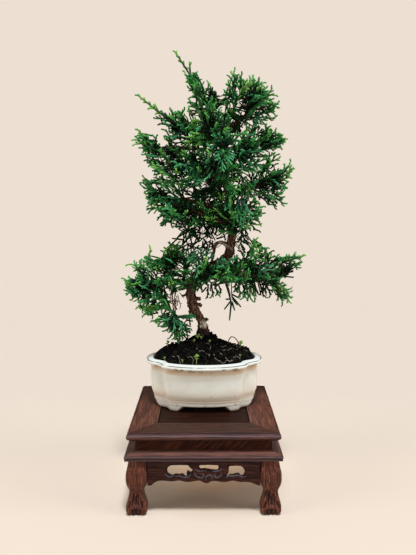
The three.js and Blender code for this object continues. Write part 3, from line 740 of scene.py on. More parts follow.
# Carved scrolls that stand out from the apron, as lines of (across, height). Their lighter bluish colour is
# a painted highlight.
APRON_SCROLLS = [
    [(-38, 44), (-36.5, 41.5), (-33.5, 40), (-31, 41), (-31.5, 42.6)],
    [(-30, 41.2), (-27, 40.2), (-24, 41), (-21, 40), (-18.5, 39.4), (-15, 40), (-13, 42.5), (-12, 44.4)],
    [(-9, 45.5), (-8.5, 42), (-5.5, 39.5), (-2, 39), (0, 41), (-1.2, 43), (-3.6, 42.4)],
    [(-8, 48.5), (-6.5, 46.6), (-3, 46), (1, 46.6), (3, 45)],
    [(3.4, 36), (1.6, 38.6), (3.4, 41), (6, 41.6), (8.4, 40.2), (8.2, 37.8), (5.6, 36.4)],
    [(8, 46), (11, 45.4), (14, 46), (17, 47.2), (18.5, 50)],
    [(18, 45), (17, 41.5), (14, 39.4), (11, 39.6), (10.6, 41.8), (12.6, 42.8)],
    [(20, 39.6), (23, 39.6), (26, 41), (29, 40.4), (32, 41.4), (35, 41.2), (37.5, 39.8), (41, 40),
     (43, 42.4)],
]


def smooth_loop(outline, per_step):
    """A closed curve that keeps close to its corners."""
    points = np.asarray(outline, float)
    rows = []
    for i in range(len(points)):
        a, b, c, d = (points[(i + k) % len(points)] for k in (-1, 0, 1, 2))
        for t in np.arange(per_step) / per_step:
            straight = b + (c - b) * t
            rows.append(0.75 * curve_between(a, b, c, d, t) + 0.25 * straight)
    return np.array(rows)


def apron_board(name, loops):
    """The points and faces of a filled curve with rounded edges. The loops after the first are openings."""
    curve = bpy.data.curves.new(name, "CURVE")
    curve.dimensions = "2D"
    curve.fill_mode = "BOTH"
    curve.extrude = 1.75
    curve.bevel_depth = 0.5
    curve.bevel_resolution = 2
    for loop in loops:
        line = curve.splines.new("POLY")
        line.points.add(len(loop) - 1)
        for point, (x, z) in zip(line.points, loop):
            point.co = (x, z, 0, 1)
        line.use_cyclic_u = True
    carrier = placed(name, curve)
    bpy.context.view_layer.update()
    board = bpy.data.meshes.new_from_object(carrier.evaluated_get(bpy.context.evaluated_depsgraph_get()))
    bpy.data.objects.remove(carrier)
    across, up, back = vertex_values(board, "co").T
    faces = [list(polygon.vertices) for polygon in board.polygons]
    bpy.data.meshes.remove(board)
    across = np.clip(across, -APRON_END, APRON_END)
    return np.stack([across, back + APRON_MIDDLE, np.clip(up, APRON_BOTTOM, APRON_TOP)], -1), faces


def apron_mesh(name, quarters):
    """The pierced board, with the carved scrolls lightened as painted highlights and a near-black rim round
    each opening as painted shade, laid on its face.
    """
    outer = np.concatenate([spline(APRON_LOWER, 4), [(APRON_END, APRON_TOP), (-APRON_END, APRON_TOP)]])
    openings = [smooth_loop(opening, 4) for opening in APRON_OPENINGS]
    points, faces = apron_board(name, [outer] + openings)
    tones = [np.full(len(points), 0.27)]
    # Painted light: the scrolls get a lighter tone and full gloss as highlights, the rims a near-black tone
    # as shade
    for (verts, quads, triangles), tone in ((scroll_tubes(), 0.45), (opening_shade_tubes(openings), 0.02)):
        faces += (quads + len(points)).tolist() + (triangles + len(points)).tolist()
        points = np.concatenate([points, verts])
        tones.append(np.full(len(verts), tone))
    mesh = bpy.data.meshes.new(name)
    mesh.from_pydata(row_frame(turned(points, quarters)).tolist(), [], faces)
    tones = np.concatenate(tones)
    mark(mesh, "grain", points[:, [2, 0, 1]] + rng.uniform(0, 300, 3))
    mark(mesh, "tone", tones)
    mark(mesh, "gloss_and_painted_sheen", np.where(tones > 0.4, 1.0, 0.1))
    mesh.validate()
    shade_smooth(mesh)
    return mesh


def scroll_tubes():
    all_points = []
    rings = 40
    for scroll in APRON_SCROLLS:
        path = spline(scroll, 12)
        path = path[np.round(np.linspace(0, len(path) - 1, rings)).astype(int)]
        all_points.append(np.stack([path[:, 0], np.full(rings, APRON_FACE + 0.3), path[:, 1]], -1))
    radii = 0.75 * np.sin(np.linspace(0.12, math.pi - 0.05, rings)) ** 0.5
    return tubes(np.array(all_points), np.tile(radii, (len(all_points), 1)), 10)


def opening_shade_tubes(openings):
    """A near-black line round each opening, painted shade for the opening's shaded inner face."""
    rings = 120
    all_points = []
    for opening in openings:
        places = np.linspace(0, len(opening), rings) % len(opening)
        low = places.astype(int)
        share = (places - low)[:, None]
        path = opening[low] * (1 - share) + opening[(low + 1) % len(opening)] * share
        all_points.append(np.stack([path[:, 0], np.full(rings, APRON_FACE + 0.25), path[:, 1]], -1))
    return tubes(np.array(all_points), np.full((len(openings), rings), 0.5), 6)


def add_aprons(wood):
    for side, quarters in QUARTER_TURNS.items():
        name = f"stand_apron_{side}"
        piece = link_mesh(name + "_wood", apron_mesh(name, quarters), wood, [name])
        piece.modifiers.new("shading", "EDGE_SPLIT").split_angle = math.radians(40)


# Pot

def from_long_axis(angle):
    """The angle to the pot's long axis, from 0 to 90 degrees."""
    return np.degrees(np.arctan2(np.abs(np.sin(angle)), np.abs(np.cos(angle))))


def pot_outline(angle):
    """How far the rim is from the middle: an oval with four shallow folds between its lobes."""
    across = np.abs(np.cos(angle)) / POT_HALF_WIDTH
    along = np.abs(np.sin(angle)) / POT_HALF_DEPTH
    radius = (across ** OVAL_POWER + along ** OVAL_POWER) ** (-1 / OVAL_POWER)
    fold = rise_and_fall(from_long_axis(angle), *FOLD_ANGLES)
    return radius * (1 - FOLD_DEPTH * fold)


def pot_radius(angle, inset):
    """How far the wall is from the middle. Inside the core it shrinks evenly, so no fold crosses itself."""
    nominal = POT_HALF_WIDTH - inset
    inner = (nominal / POT_CORE) * (pot_outline(angle) - (POT_HALF_WIDTH - POT_CORE))
    return np.where(nominal >= POT_CORE, pot_outline(angle) - inset, inner)


def pot_ring(angle, inset, height):
    radius = pot_radius(angle, inset)
    return np.stack([POT_X + radius * np.cos(angle), POT_Y + radius * np.sin(angle),
                     np.broadcast_to(height, np.shape(angle))], -1)


def foot_drop(angle):
    """How far the underside reaches down to the stand, which it does only at the four feet."""
    return (STAND_TOP - BETWEEN_FEET) * rise_and_fall(from_long_axis(angle), *FOOT_ANGLES)


def wall(inset, height, share=0, pool=0, white=0, line=0, chips=0, clay=0):
    """A ring of the pot's surface: its share of the feet's drop, then how much of each glaze mark it has."""
    return inset, height, share, pool, white, line, chips, clay


# The pot's section from the middle of the underside, over the rim, to the middle of the floor
POT_PROFILE = [
    wall(44.0, 92.1, clay=1), wall(20.5, 92.1, clay=1), wall(19.0, 91.9, share=0.3, clay=1),
    wall(18.2, 91.7, share=0.9, clay=1), wall(17.2, 91.6, share=1.0, clay=1),
    wall(11.8, 91.6, share=1.0, clay=1), wall(10.8, 91.6, share=0.98, clay=1),
    wall(10.0, 91.6, share=0.93, white=0.1, clay=1), wall(9.5, 91.6, share=0.78, white=0.4, clay=0.6),
    wall(9.2, 91.7, share=0.35, white=0.5), wall(8.9, 91.9, share=0.05, white=0.5, chips=0.2),
    wall(8.6, 92.5, white=0.5, chips=0.4), wall(8.4, 94.0, white=0.45, chips=0.2),
    wall(8.3, 95.6, white=0.3), wall(7.6, 96.9, white=0.1), wall(7.6, 97.6, pool=0.6),
    wall(7.4, 98.4, pool=0.6), wall(7.0, 99.6, pool=0.4), wall(6.5, 101.2, pool=0.25),
    wall(5.9, 103.0, pool=0.15), wall(5.2, 107.0, pool=0.05), wall(4.8, 113.0), wall(4.7, 121.0),
    wall(4.8, 126.0, pool=0.1), wall(5.0, 127.6, pool=0.6), wall(5.1, 129.6, pool=0.95),
    wall(5.0, 131.6, pool=1.0, chips=0.4), wall(4.4, 132.7, pool=0.7, chips=0.8),
    wall(2.8, 133.2, pool=0.2, white=0.1, chips=1), wall(1.0, 133.6, white=0.4, chips=1),
    wall(0.3, 134.3, white=0.6, chips=0.8), wall(0.0, 135.2, white=0.8, chips=0.4),
    wall(0.1, 136.0, white=0.9, chips=0.1), wall(0.5, 136.6, white=0.9),
    wall(1.1, 136.95, white=0.6, line=1), wall(1.7, 137.2, white=0.4, line=0.9),
    wall(2.6, 137.6, white=0.9), wall(4.6, 138.3, white=1), wall(6.4, 138.7, white=1),
    wall(7.4, 138.7, white=1), wall(8.0, 137.9, white=0.8), wall(8.5, 136.0, pool=0.2),
    wall(9.2, 130.0, pool=0.2), wall(9.6, 110.0, pool=0.2), wall(11.0, 102.4, pool=0.2, clay=0.5),
    wall(13.0, 99.1, clay=1), wall(18.0, 97.4, clay=1), wall(44.0, 97.4, clay=1),
]


def add_pot(material):
    sides = 240
    angle = full_turn(sides)
    rings, marks = [], []
    for inset, height, share, *glaze_marks in spline(POT_PROFILE, 2):
        rings.append(pot_ring(angle, inset, height + np.clip(share, 0, 1) * foot_drop(angle)))
        marks.append(np.tile(np.clip(glaze_marks, 0, 1), (sides, 1)))
    points = np.concatenate(rings)
    floor_points, floor_faces = pot_floor(points, sides)
    marks.append(np.tile([0, 0, 0, 0, 1.0], (len(floor_points), 1)))
    keys = ("pool", "rim_top", "rim_line", "chip_zone", "clay")
    marks = dict(zip(keys, np.concatenate(marks).T))
    faces = skin(len(rings), sides)[:1] + floor_faces
    mesh = mesh_from("pot", np.concatenate([points, floor_points]), faces, marks)
    flip_if_inside_out(mesh)
    link_mesh("pot_glazed", mesh, material, ["pot"])


def pot_floor(points, sides):
    """Closes the floor above and below round two drainage holes, and lines the holes."""
    steps = 24
    turn = full_turn(steps)
    rings = [np.stack([POT_X + centre + DRAIN_RADIUS * np.cos(turn), POT_Y + DRAIN_RADIUS * np.sin(turn),
                       np.full(steps, height)], -1)
             for height in (POT_UNDERSIDE, POT_FLOOR) for centre in (-DRAIN_FROM_MIDDLE, DRAIN_FROM_MIDDLE)]
    extra = np.concatenate(rings)
    everything = np.concatenate([points, extra])
    below_left, below_right, above_left, above_right = len(points) + np.arange(4 * steps).reshape(4, steps)
    outer = np.arange(sides)
    faces = [filled(everything, [outer, below_left, below_right], False),
             filled(everything, [len(points) - sides + outer, above_left, above_right], True)]
    for low, high in ((below_left, above_left), (below_right, above_right)):
        faces.append(np.stack([low, high, np.roll(high, -1), np.roll(low, -1)], -1))
    return extra, faces


def filled(points, loops, facing_up):
    """Triangles inside the first loop and outside the others."""
    order = np.concatenate(loops)
    triangles = order[np.array(tessellate_polygon([[Vector(points[i]) for i in loop] for loop in loops]))]
    a, b, c = points[triangles].transpose(1, 0, 2)
    wrong = (np.cross(b - a, c - a)[:, 2] > 0) != facing_up
    triangles[wrong] = triangles[wrong][:, ::-1]
    return triangles


# Soil

def soil_height(x, y):
    """The mound's height above the floor, at a place measured from the pot's middle."""
    away = np.hypot(x, y)
    ratio = np.minimum(1, away / (pot_outline(np.arctan2(y, x)) - SOIL_INSET))
    shoulder = SHOULDER_RISE * (1 - ratio ** 8)
    cone = CONE_RISE * np.exp(-((away / CONE_WIDTH) ** 2))
    lumps = 0.9 * np.sin(x / 5.1) * np.cos(y / 4.3) * (1 - ratio ** 4)
    return SOIL_EDGE + shoulder + cone + lumps


def add_soil(material):
    """The rough mound, and below its edge a plain skirt that follows the inside of the pot."""
    sides, rings = 220, 90
    angle = full_turn(sides)
    ratio = np.linspace(1.0, 0.0, rings, endpoint=False)
    radius = ratio[:, None] * (pot_outline(angle) - SOIL_INSET - 0.15)
    x, y = radius * np.cos(angle), radius * np.sin(angle)
    z = soil_height(x, y)
    flat = np.stack([x, y, z], -1).reshape(-1, 3)
    rough = fractal(flat, 7.0, 5) * 1.1 + fractal(flat, 2.2, 3, 9.0) * 0.75
    edge = np.clip((1 - ratio) * 14, 0.15, 1)[:, None]
    z += rough.reshape(z.shape) * edge
    z[0] = SOIL_EDGE - 0.4
    mound = np.stack([POT_X + x, POT_Y + y, z], -1)
    skirt = [(44.0, 97.8), (18.6, 97.8), (13.6, 99.5), (10.0, 110.2), (9.5, 130.0)]
    points = np.concatenate([pot_ring(angle, *place) for place in skirt] + [mound.reshape(-1, 3)])
    grains, grain_faces = soil_grains(1500)
    vertices, faces = joined([(points, *skin(len(skirt) + rings, sides)), (grains, grain_faces)])
    link_mesh("soil_peat", mesh_from("soil", vertices, faces), material, ["soil"])


def soil_grains(count):
    """Crumbs of peat: squashed irregular lumps of twenty faces lying on the mound."""
    corner_distance = 1.9
    ico = np.array([(-1, GOLDEN, 0), (1, GOLDEN, 0), (-1, -GOLDEN, 0), (1, -GOLDEN, 0), (0, -1, GOLDEN),
                    (0, 1, GOLDEN), (0, -1, -GOLDEN), (0, 1, -GOLDEN), (GOLDEN, 0, -1), (GOLDEN, 0, 1),
                    (-GOLDEN, 0, -1), (-GOLDEN, 0, 1)]) / corner_distance
    faces = np.array([(0, 11, 5), (0, 5, 1), (0, 1, 7), (0, 7, 10), (0, 10, 11), (1, 5, 9), (5, 11, 4),
                      (11, 10, 2), (10, 7, 6), (7, 1, 8), (3, 9, 4), (3, 4, 2), (3, 2, 6), (3, 6, 8),
                      (3, 8, 9), (4, 9, 5), (2, 4, 11), (6, 2, 10), (8, 6, 7), (9, 8, 1)])
    angle = rng.uniform(0, 2 * math.pi, count)
    ratio = np.sqrt(rng.uniform(0.02, 0.95, count))
    radius = (pot_outline(angle) - 10.5) * ratio
    x, y = radius * np.cos(angle), radius * np.sin(angle)
    size = rng.gamma(2.2, 0.33, count).clip(0.3, 2.1)
    shape = rng.uniform(0.55, 1.25, (count, len(ico), 1)) * ico
    scale = size[:, None, None] * rng.uniform(0.6, 1.3, (count, 1, 3))
    centre = np.stack([POT_X + x, POT_Y + y, soil_height(x, y) + size * 0.25], -1)
    points = (shape * scale + centre[:, None]).reshape(-1, 3)
    return points, (faces + (np.arange(count) * len(ico))[:, None, None]).reshape(-1, 3)


# Trunk and branches

# Stations of right, back and height from the planting point, and radius
TRUNK = [
    (0, 0, 150, 10), (-0.3, 0, 160, 8.6), (-0.6, 0, 167, 6.6), (-1.7, 0, 174, 5.1), (-3.2, 0, 180, 4.5),
    (-6, -0.5, 185, 4.3), (-9, -1, 190, 4.7), (-11.8, -1, 195, 5.4), (-13.2, -0.5, 201, 5.6),
    (-13.8, 0, 210, 5.3), (-13, 1, 219, 5.4), (-10, 2, 226, 5.6), (-4, 4, 232, 5.6), (6, 4, 238, 5.5),
    (18, 3, 243, 5.4), (27, 2, 251, 5.4), (29.5, 1, 262, 5.1), (31, 0, 276, 4.1), (30.5, 0, 292, 3.6),
    (27, 1, 310, 3.5), (24, 2, 330, 3.3), (22, 2, 350, 3), (19, 1, 370, 2.6), (14, 0, 390, 2.3),
    (6, 0, 408, 1.9), (-3, 0, 424, 1.4), (-13, 0, 441, 1), (-22, 0, 455, 0.7),
]
BRANCHES = [
    [(-14, 2, 221, 4.2), (-24, 1, 222, 3.8), (-34, 0, 223, 3.2), (-46, 0, 223, 2.6), (-70, -2, 219, 1.2)],
    [(-34, 0, 223, 2.4), (-38, 3, 233, 2), (-38, 6, 246, 1.2)],
    [(-33, 0, 223, 1.6), (-35, -2, 212, 1.1), (-34, -4, 196, 0.8), (-33, -6, 176, 0.6)],
    [(8, 4, 238, 4), (22, 1, 232, 3.6), (36, -2, 230, 3), (54, -3, 233, 2.4), (90, 0, 233, 1.1)],
    [(24, 0, 231, 1.2), (25, -4, 222, 0.9), (28, -6, 212, 0.7)],
    [(16, 3, 242, 3), (26, 16, 240, 2.4), (37, 30, 236, 1.5)],
    [(4, 4, 237, 3), (6, -10, 237, 2.4), (8, -26, 236, 1.4)],
    [(29, 1, 259, 2.6), (23, -3, 265, 2.3), (17, -5, 266.5, 2), (12.5, -6, 263, 2), (11, -8, 256, 1.8),
     (9.5, -11, 249, 1.5), (6, -16, 241, 1.1)],
    [(31, 0, 284, 3.2), (16, -6, 290, 2.8), (0, -11, 297, 2.2), (-20, -14, 302, 1.4)],
    [(29, 1, 300, 3), (8, 0, 306, 2.6), (-18, 1, 312, 2.2), (-50, 2, 316, 1.2)],
    [(31, 0, 288, 2.6), (39, -6, 295, 2), (41, -12, 302, 1.4)],
    [(31, 0, 290, 2.6), (26, 16, 297, 2.2), (15, 34, 302, 1.4)],
    [(26, 1, 318, 3.2), (42, 1, 324, 2.8), (56, 1, 329, 2.3), (76, 2, 334, 1.3)],
    [(24, 2, 332, 2.8), (4, -6, 340, 2.4), (-14, -13, 345, 1.9), (-28, -18, 348, 1.2)],
    [(23, 2, 336, 2.8), (18, 18, 342, 2.2), (6, 40, 346, 1.3)],
    [(22, 2, 346, 2.4), (18, -16, 348, 2), (11, -38, 348, 1.2)],
    [(21, 2, 354, 2.6), (32, -8, 359, 2.1), (44, -20, 362, 1.3)],
    [(20, 1, 364, 2.8), (36, 0, 369, 2.3), (54, 1, 374, 1.8), (70, 2, 377, 1.1)],
    [(20, 1, 362, 2.6), (0, 1, 366, 2.2), (-28, 1, 368, 1.8), (-56, 0, 368, 1.1)],
    [(17, 1, 378, 2.2), (14, -12, 384, 1.8), (8, -28, 388, 1.1)],
    [(17, 1, 377, 2.2), (-4, 1, 384, 1.8), (-26, 0, 388, 1.3), (-40, 0, 399, 1), (-54, 0, 409, 0.7)],
    [(18, 1, 374, 2.2), (16, 16, 385, 1.8), (12, 30, 392, 1.1)],
    [(16, 1, 384, 2.4), (30, 0, 392, 2.1), (43, -1, 400, 1.8), (52, -2, 418, 1.1)],
    [(4, 0, 412, 1.6), (7, 1, 417, 1.2), (9, 2, 422, 0.9)],
]
SPURS = [
    [(-11, -2, 204.6, 3), (-6, -4, 204, 2.2), (-3, -4, 202.4, 1)],
    [(-10, -2, 198, 3), (-5, -4, 197.2, 2.4), (-2.9, -4, 195.2, 1.6)],
    [(-11, -1, 187, 2.6), (-15, -3, 187.6, 1.5), (-17, -3, 190.5, 0.7)],
    [(-10, -1, 184, 2.2), (-15, -3, 184.6, 1.2), (-18, -3, 183.4, 0.6)],
    [(1, -1, 180, 2.4), (3.6, -1, 180.6, 1.5), (5.2, -1, 178.6, 0.7)],
    [(-15, -1, 207, 3), (-20, -2, 208, 2), (-25, -3, 206, 0.9)],
    [(-14, 0, 219, 3), (-21, -1, 216, 2.4), (-29, -2, 213, 1)],
]


def wood_tube(stations, sides):
    rows = spline(stations, 6)
    return tubes(rows[None, :, :3] + PLANT, rows[None, :, 3], sides)


def add_trunk(material):
    lines = [(TRUNK, 24)] + [(branch, 14) for branch in BRANCHES + SPURS]
    tubes_of_wood = [wood_tube(stations, sides) for stations, sides in lines]
    mesh = mesh_from("trunk_and_branches", *joined(tubes_of_wood))
    piece = link_mesh("trunk_bark", mesh, material, ["trunk_and_branches"])
    remesh = piece.modifiers.new("one_skin", "REMESH")
    remesh.mode = "VOXEL"
    remesh.voxel_size = BARK_VOXEL * MM
    piece.modifiers.new("soft_joints", "SMOOTH").iterations = 4
    bake_modifiers(piece)
    roughen_bark(piece.data)
    shade_smooth(piece.data)


def bake_modifiers(piece):
    """Applies every modifier to the piece's own mesh."""
    depsgraph = bpy.context.evaluated_depsgraph_get()
    depsgraph.update()
    material = piece.data.materials[0]
    mesh = bpy.data.meshes.new_from_object(piece.evaluated_get(depsgraph))
    old = piece.data
    piece.modifiers.clear()
    piece.data = mesh
    if not mesh.materials:
        mesh.materials.append(material)
    bpy.data.meshes.remove(old)


def along_trunk(local):
    """The trunk's middle and radius at the height of each point, as right, back and radius."""
    trunk = np.array(TRUNK, float)
    return np.stack([np.interp(local[:, 2], trunk[:, 2], trunk[:, k]) for k in (0, 1, 3)], -1)


def roughen_bark(mesh):
    """Pushes the skin in and out as plates, lumps and furrows, and marks the bare and the shaded places."""
    points, normals = vertex_values(mesh, "co"), vertex_values(mesh, "normal")
    local = points / MM - [STAND_X, STAND_Y, 0] - PLANT
    right, back, height = local.T
    middle = along_trunk(local)
    away = np.hypot(right - middle[:, 0], back - middle[:, 1])
    on_trunk = np.clip(2.2 - away / np.maximum(middle[:, 2], 0.1), 0, 1)
    size = np.where(on_trunk > 0.3, middle[:, 2], 2.0)
    plates = fractal(local, (2.2, 2.2, 4.5), 4)
    lumps = fractal(local, (6.0, 6.0, 4.5), 3, 5.0)
    furrows = np.abs(fractal(local, (2.6, 2.6, 12.0), 3, 11.0))
    push = 0.16 * size * plates + 0.2 * size * lumps * on_trunk
    push -= 0.22 * size * np.clip(0.35 - furrows, 0, 1)
    points += normals * push[:, None] * MM
    mesh.vertices.foreach_set("co", points.ravel())
    bare = bare_wood(local)
    inside_crown = np.clip((height - 285) / 30, 0, 0.6)
    near_soil = np.clip((174 - height) / 6, 0, 1)
    crevice_shade = np.clip(1.1 * (0.3 - furrows) / 0.3 - plates * 0.6, 0, 1)
    mark(mesh, "deadwood", bare)
    mark(mesh, "shade", np.maximum(np.maximum(inside_crown, near_soil), crevice_shade) * (1 - 0.7 * bare))
    mesh.update()


def bare_wood(local):
    """How bare the wood is: at the pale scar near the foot and along a strand beside the loop branch."""
    right, back, height = local.T
    ragged = 0.5 * fractal(local, (2.5, 2.5, 4.0), 3, 21.0)
    scar = 1.25 - np.hypot((right + 0.3) / 3.8, (height - 175) / 4.2) + ragged
    strand = 1.0 - np.abs((height - 267.5) + 0.62 * (right - 17)) / 2.2 - (np.abs(right - 24) > 8)
    return np.clip(np.maximum(scar * 3, strand * 0.7), 0, 1) * (back < 2)


# Foliage

def clump_places():
    """Centre and half size of each foliage node, in millimetres from the planting point."""
    places = {}
    for name in sorted(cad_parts):
        if name.startswith("foliage_"):
            low, high = (np.array(corner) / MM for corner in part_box(name))
            centre = (low + high) / 2 - [STAND_X, STAND_Y, 0] - PLANT
            places[name] = (centre, (high - low) / 2)
    return places


CLUMPS = clump_places()
# Clumps of a few named sprays, which get no others
NARROW = ("foliage_leader", "foliage_left_sprig", "foliage_branch_right_hanging")

# Outlines of the foliage seen from the front, as right and height from the planting point
CROWN_OUTLINE = [
    (-14, 424), (-19, 432), (-22, 446), (-27, 457), (-31, 469), (-26, 466), (-15, 460), (-12, 450),
    (-7, 449), (-3, 441), (-1, 434), (3, 430), (8, 438), (12, 432), (17, 426), (19, 420), (20, 428),
    (23, 435), (26, 440), (29, 447), (32, 450), (37, 446), (43, 443), (50, 444), (55, 443), (61, 440),
    (67, 434), (72, 428), (77, 426), (76, 420), (83, 415), (79, 408), (79, 400), (72, 398), (68, 396),
    (71, 394), (75, 388), (82, 386), (89, 382), (92, 379), (88, 371), (84, 369), (70, 366), (66, 362),
    (72, 364), (74, 356), (80, 363), (80, 352), (78, 347), (84, 347), (90, 350), (95, 353), (99, 347),
    (96, 339), (89, 330), (94, 325), (86, 315), (90, 307), (82, 304), (72, 310), (62, 316), (58, 312),
    (64, 309), (66, 304), (67, 297), (64, 288), (60, 285), (54, 277), (50, 273), (44, 276), (41, 262),
    (36, 268), (20, 272), (5, 270), (-8, 276), (-20, 274), (-25, 283), (-30, 283), (-37, 285), (-47, 282),
    (-51, 285), (-46, 292), (-53, 293), (-50, 300), (-61, 300), (-64, 309), (-66, 319), (-68, 326),
    (-69, 335), (-57, 337), (-54, 341), (-64, 353), (-66, 357), (-70, 370), (-76, 379), (-72, 389),
    (-63, 383), (-57, 376), (-53, 382), (-50, 374), (-44, 370), (-41, 376), (-42, 390), (-50, 394),
    (-53, 402), (-57, 409), (-71, 424), (-60, 420), (-47, 410), (-38, 407), (-30, 409), (-22, 411),
    (-17, 404), (-15, 400), (-18, 410), (-18, 418), (-10, 417),
]
BRANCH_OUTLINE = [
    (-20, 262), (-34, 268), (-42, 263), (-48, 252), (-56, 250), (-58, 262), (-64, 255), (-72, 249),
    (-82, 244), (-76, 232), (-91, 225), (-89, 212), (-79, 203), (-74, 192), (-64, 182), (-58, 182),
    (-50, 188), (-56, 185), (-58, 177), (-54, 173), (-46, 174), (-41, 172), (-33, 168), (-28, 167),
    (-22, 170), (-14, 172), (-16, 175), (-20, 178), (-10, 182), (-12, 186), (-27, 188), (-30, 195),
    (-38, 198), (-40, 204), (-34, 210), (-20, 212), (-17, 220), (-8, 212), (-2, 216), (4, 215), (11, 217),
    (20, 219), (28, 219), (38, 217), (48, 216), (58, 217), (67, 215), (77, 213), (84, 206), (89, 198),
    (100, 203), (97, 213), (92, 217), (86, 221), (95, 233), (109, 241), (114, 253), (105, 255), (96, 254),
    (90, 254), (80, 254), (73, 258), (69, 263), (66, 266), (58, 273), (52, 268), (50, 258), (44, 250),
    (37, 254), (30, 249), (20, 247), (10, 246), (5, 250), (3, 258), (-8, 258),
]
# Gaps where the background shows, sparse places with no more than the sprays named below, and pockets where
# only the dark inside shows, as near-black sprays of painted shade: right, height, radius
GAPS = [
    (36, 330, 1.5), (40, 331, 1.5), (33, 341, 1.5), (43, 340, 1.5), (-17, 316, 2.6), (-38, 325, 2),
    (-30, 326, 2), (43, 405, 2.5), (50, 400, 2.5), (50, 393, 2), (22, 409, 2), (-29, 374, 1.5),
    (-37, 385, 1.5), (-28, 233, 1.5), (-31, 226, 1.2), (-27, 204, 3), (-38, 202, 2), (-47, 216, 1.5),
    (18, 257, 6), (14, 262, 3), (62, 352, 2), (-57, 300, 2), (66, 232, 1.5), (22, 219, 2), (-60, 365, 1.2),
    (56, 300, 1.5),
]
SPARSE = [
    (31, 192, 19), (8, 209, 6), (20, 210, 6), (-27, 201, 11), (-4, 270, 15), (12, 268, 10), (42, 262, 10),
    (-22, 460, 16), (-56, 412, 15), (58, 211, 9), (72, 210, 9),
]
POCKETS = [
    (22, 374, 7), (-10, 356, 5), (8, 325, 9), (18, 320, 6), (36, 390, 5), (-34, 360, 5), (60, 330, 5),
    (-8, 316, 9),
]

# How a spray looks: the length of its side shoots to its own, their angle in degrees, and its place in the
# colours. The dark kinds, under and inside the foliage, are near-black as painted shade.
Kind = namedtuple("Kind", "width angle look")
KINDS = {
    "edge": Kind(0.4, 30, 0.46), "fresh": Kind(0.32, 30, 0.54), "leader": Kind(0.15, 32, 0.64),
    "dark": Kind(0.36, 32, 0.16), "thin": Kind(0.18, 30, 0.3), "whip": Kind(0.3, 24, 0.84),
    "emerald": Kind(0.36, 28, 0.76), "dry": Kind(0.14, 36, 0.99), "finger": Kind(0.2, 30, 0.26),
    "dark_finger": Kind(0.2, 30, 0.18), "pale_finger": Kind(0.2, 30, 0.8),
}
# Kinds with one order of side shoots. Fingers have none, and the rest have two.
ONE_ORDER = ("dry", "whip", "leader")
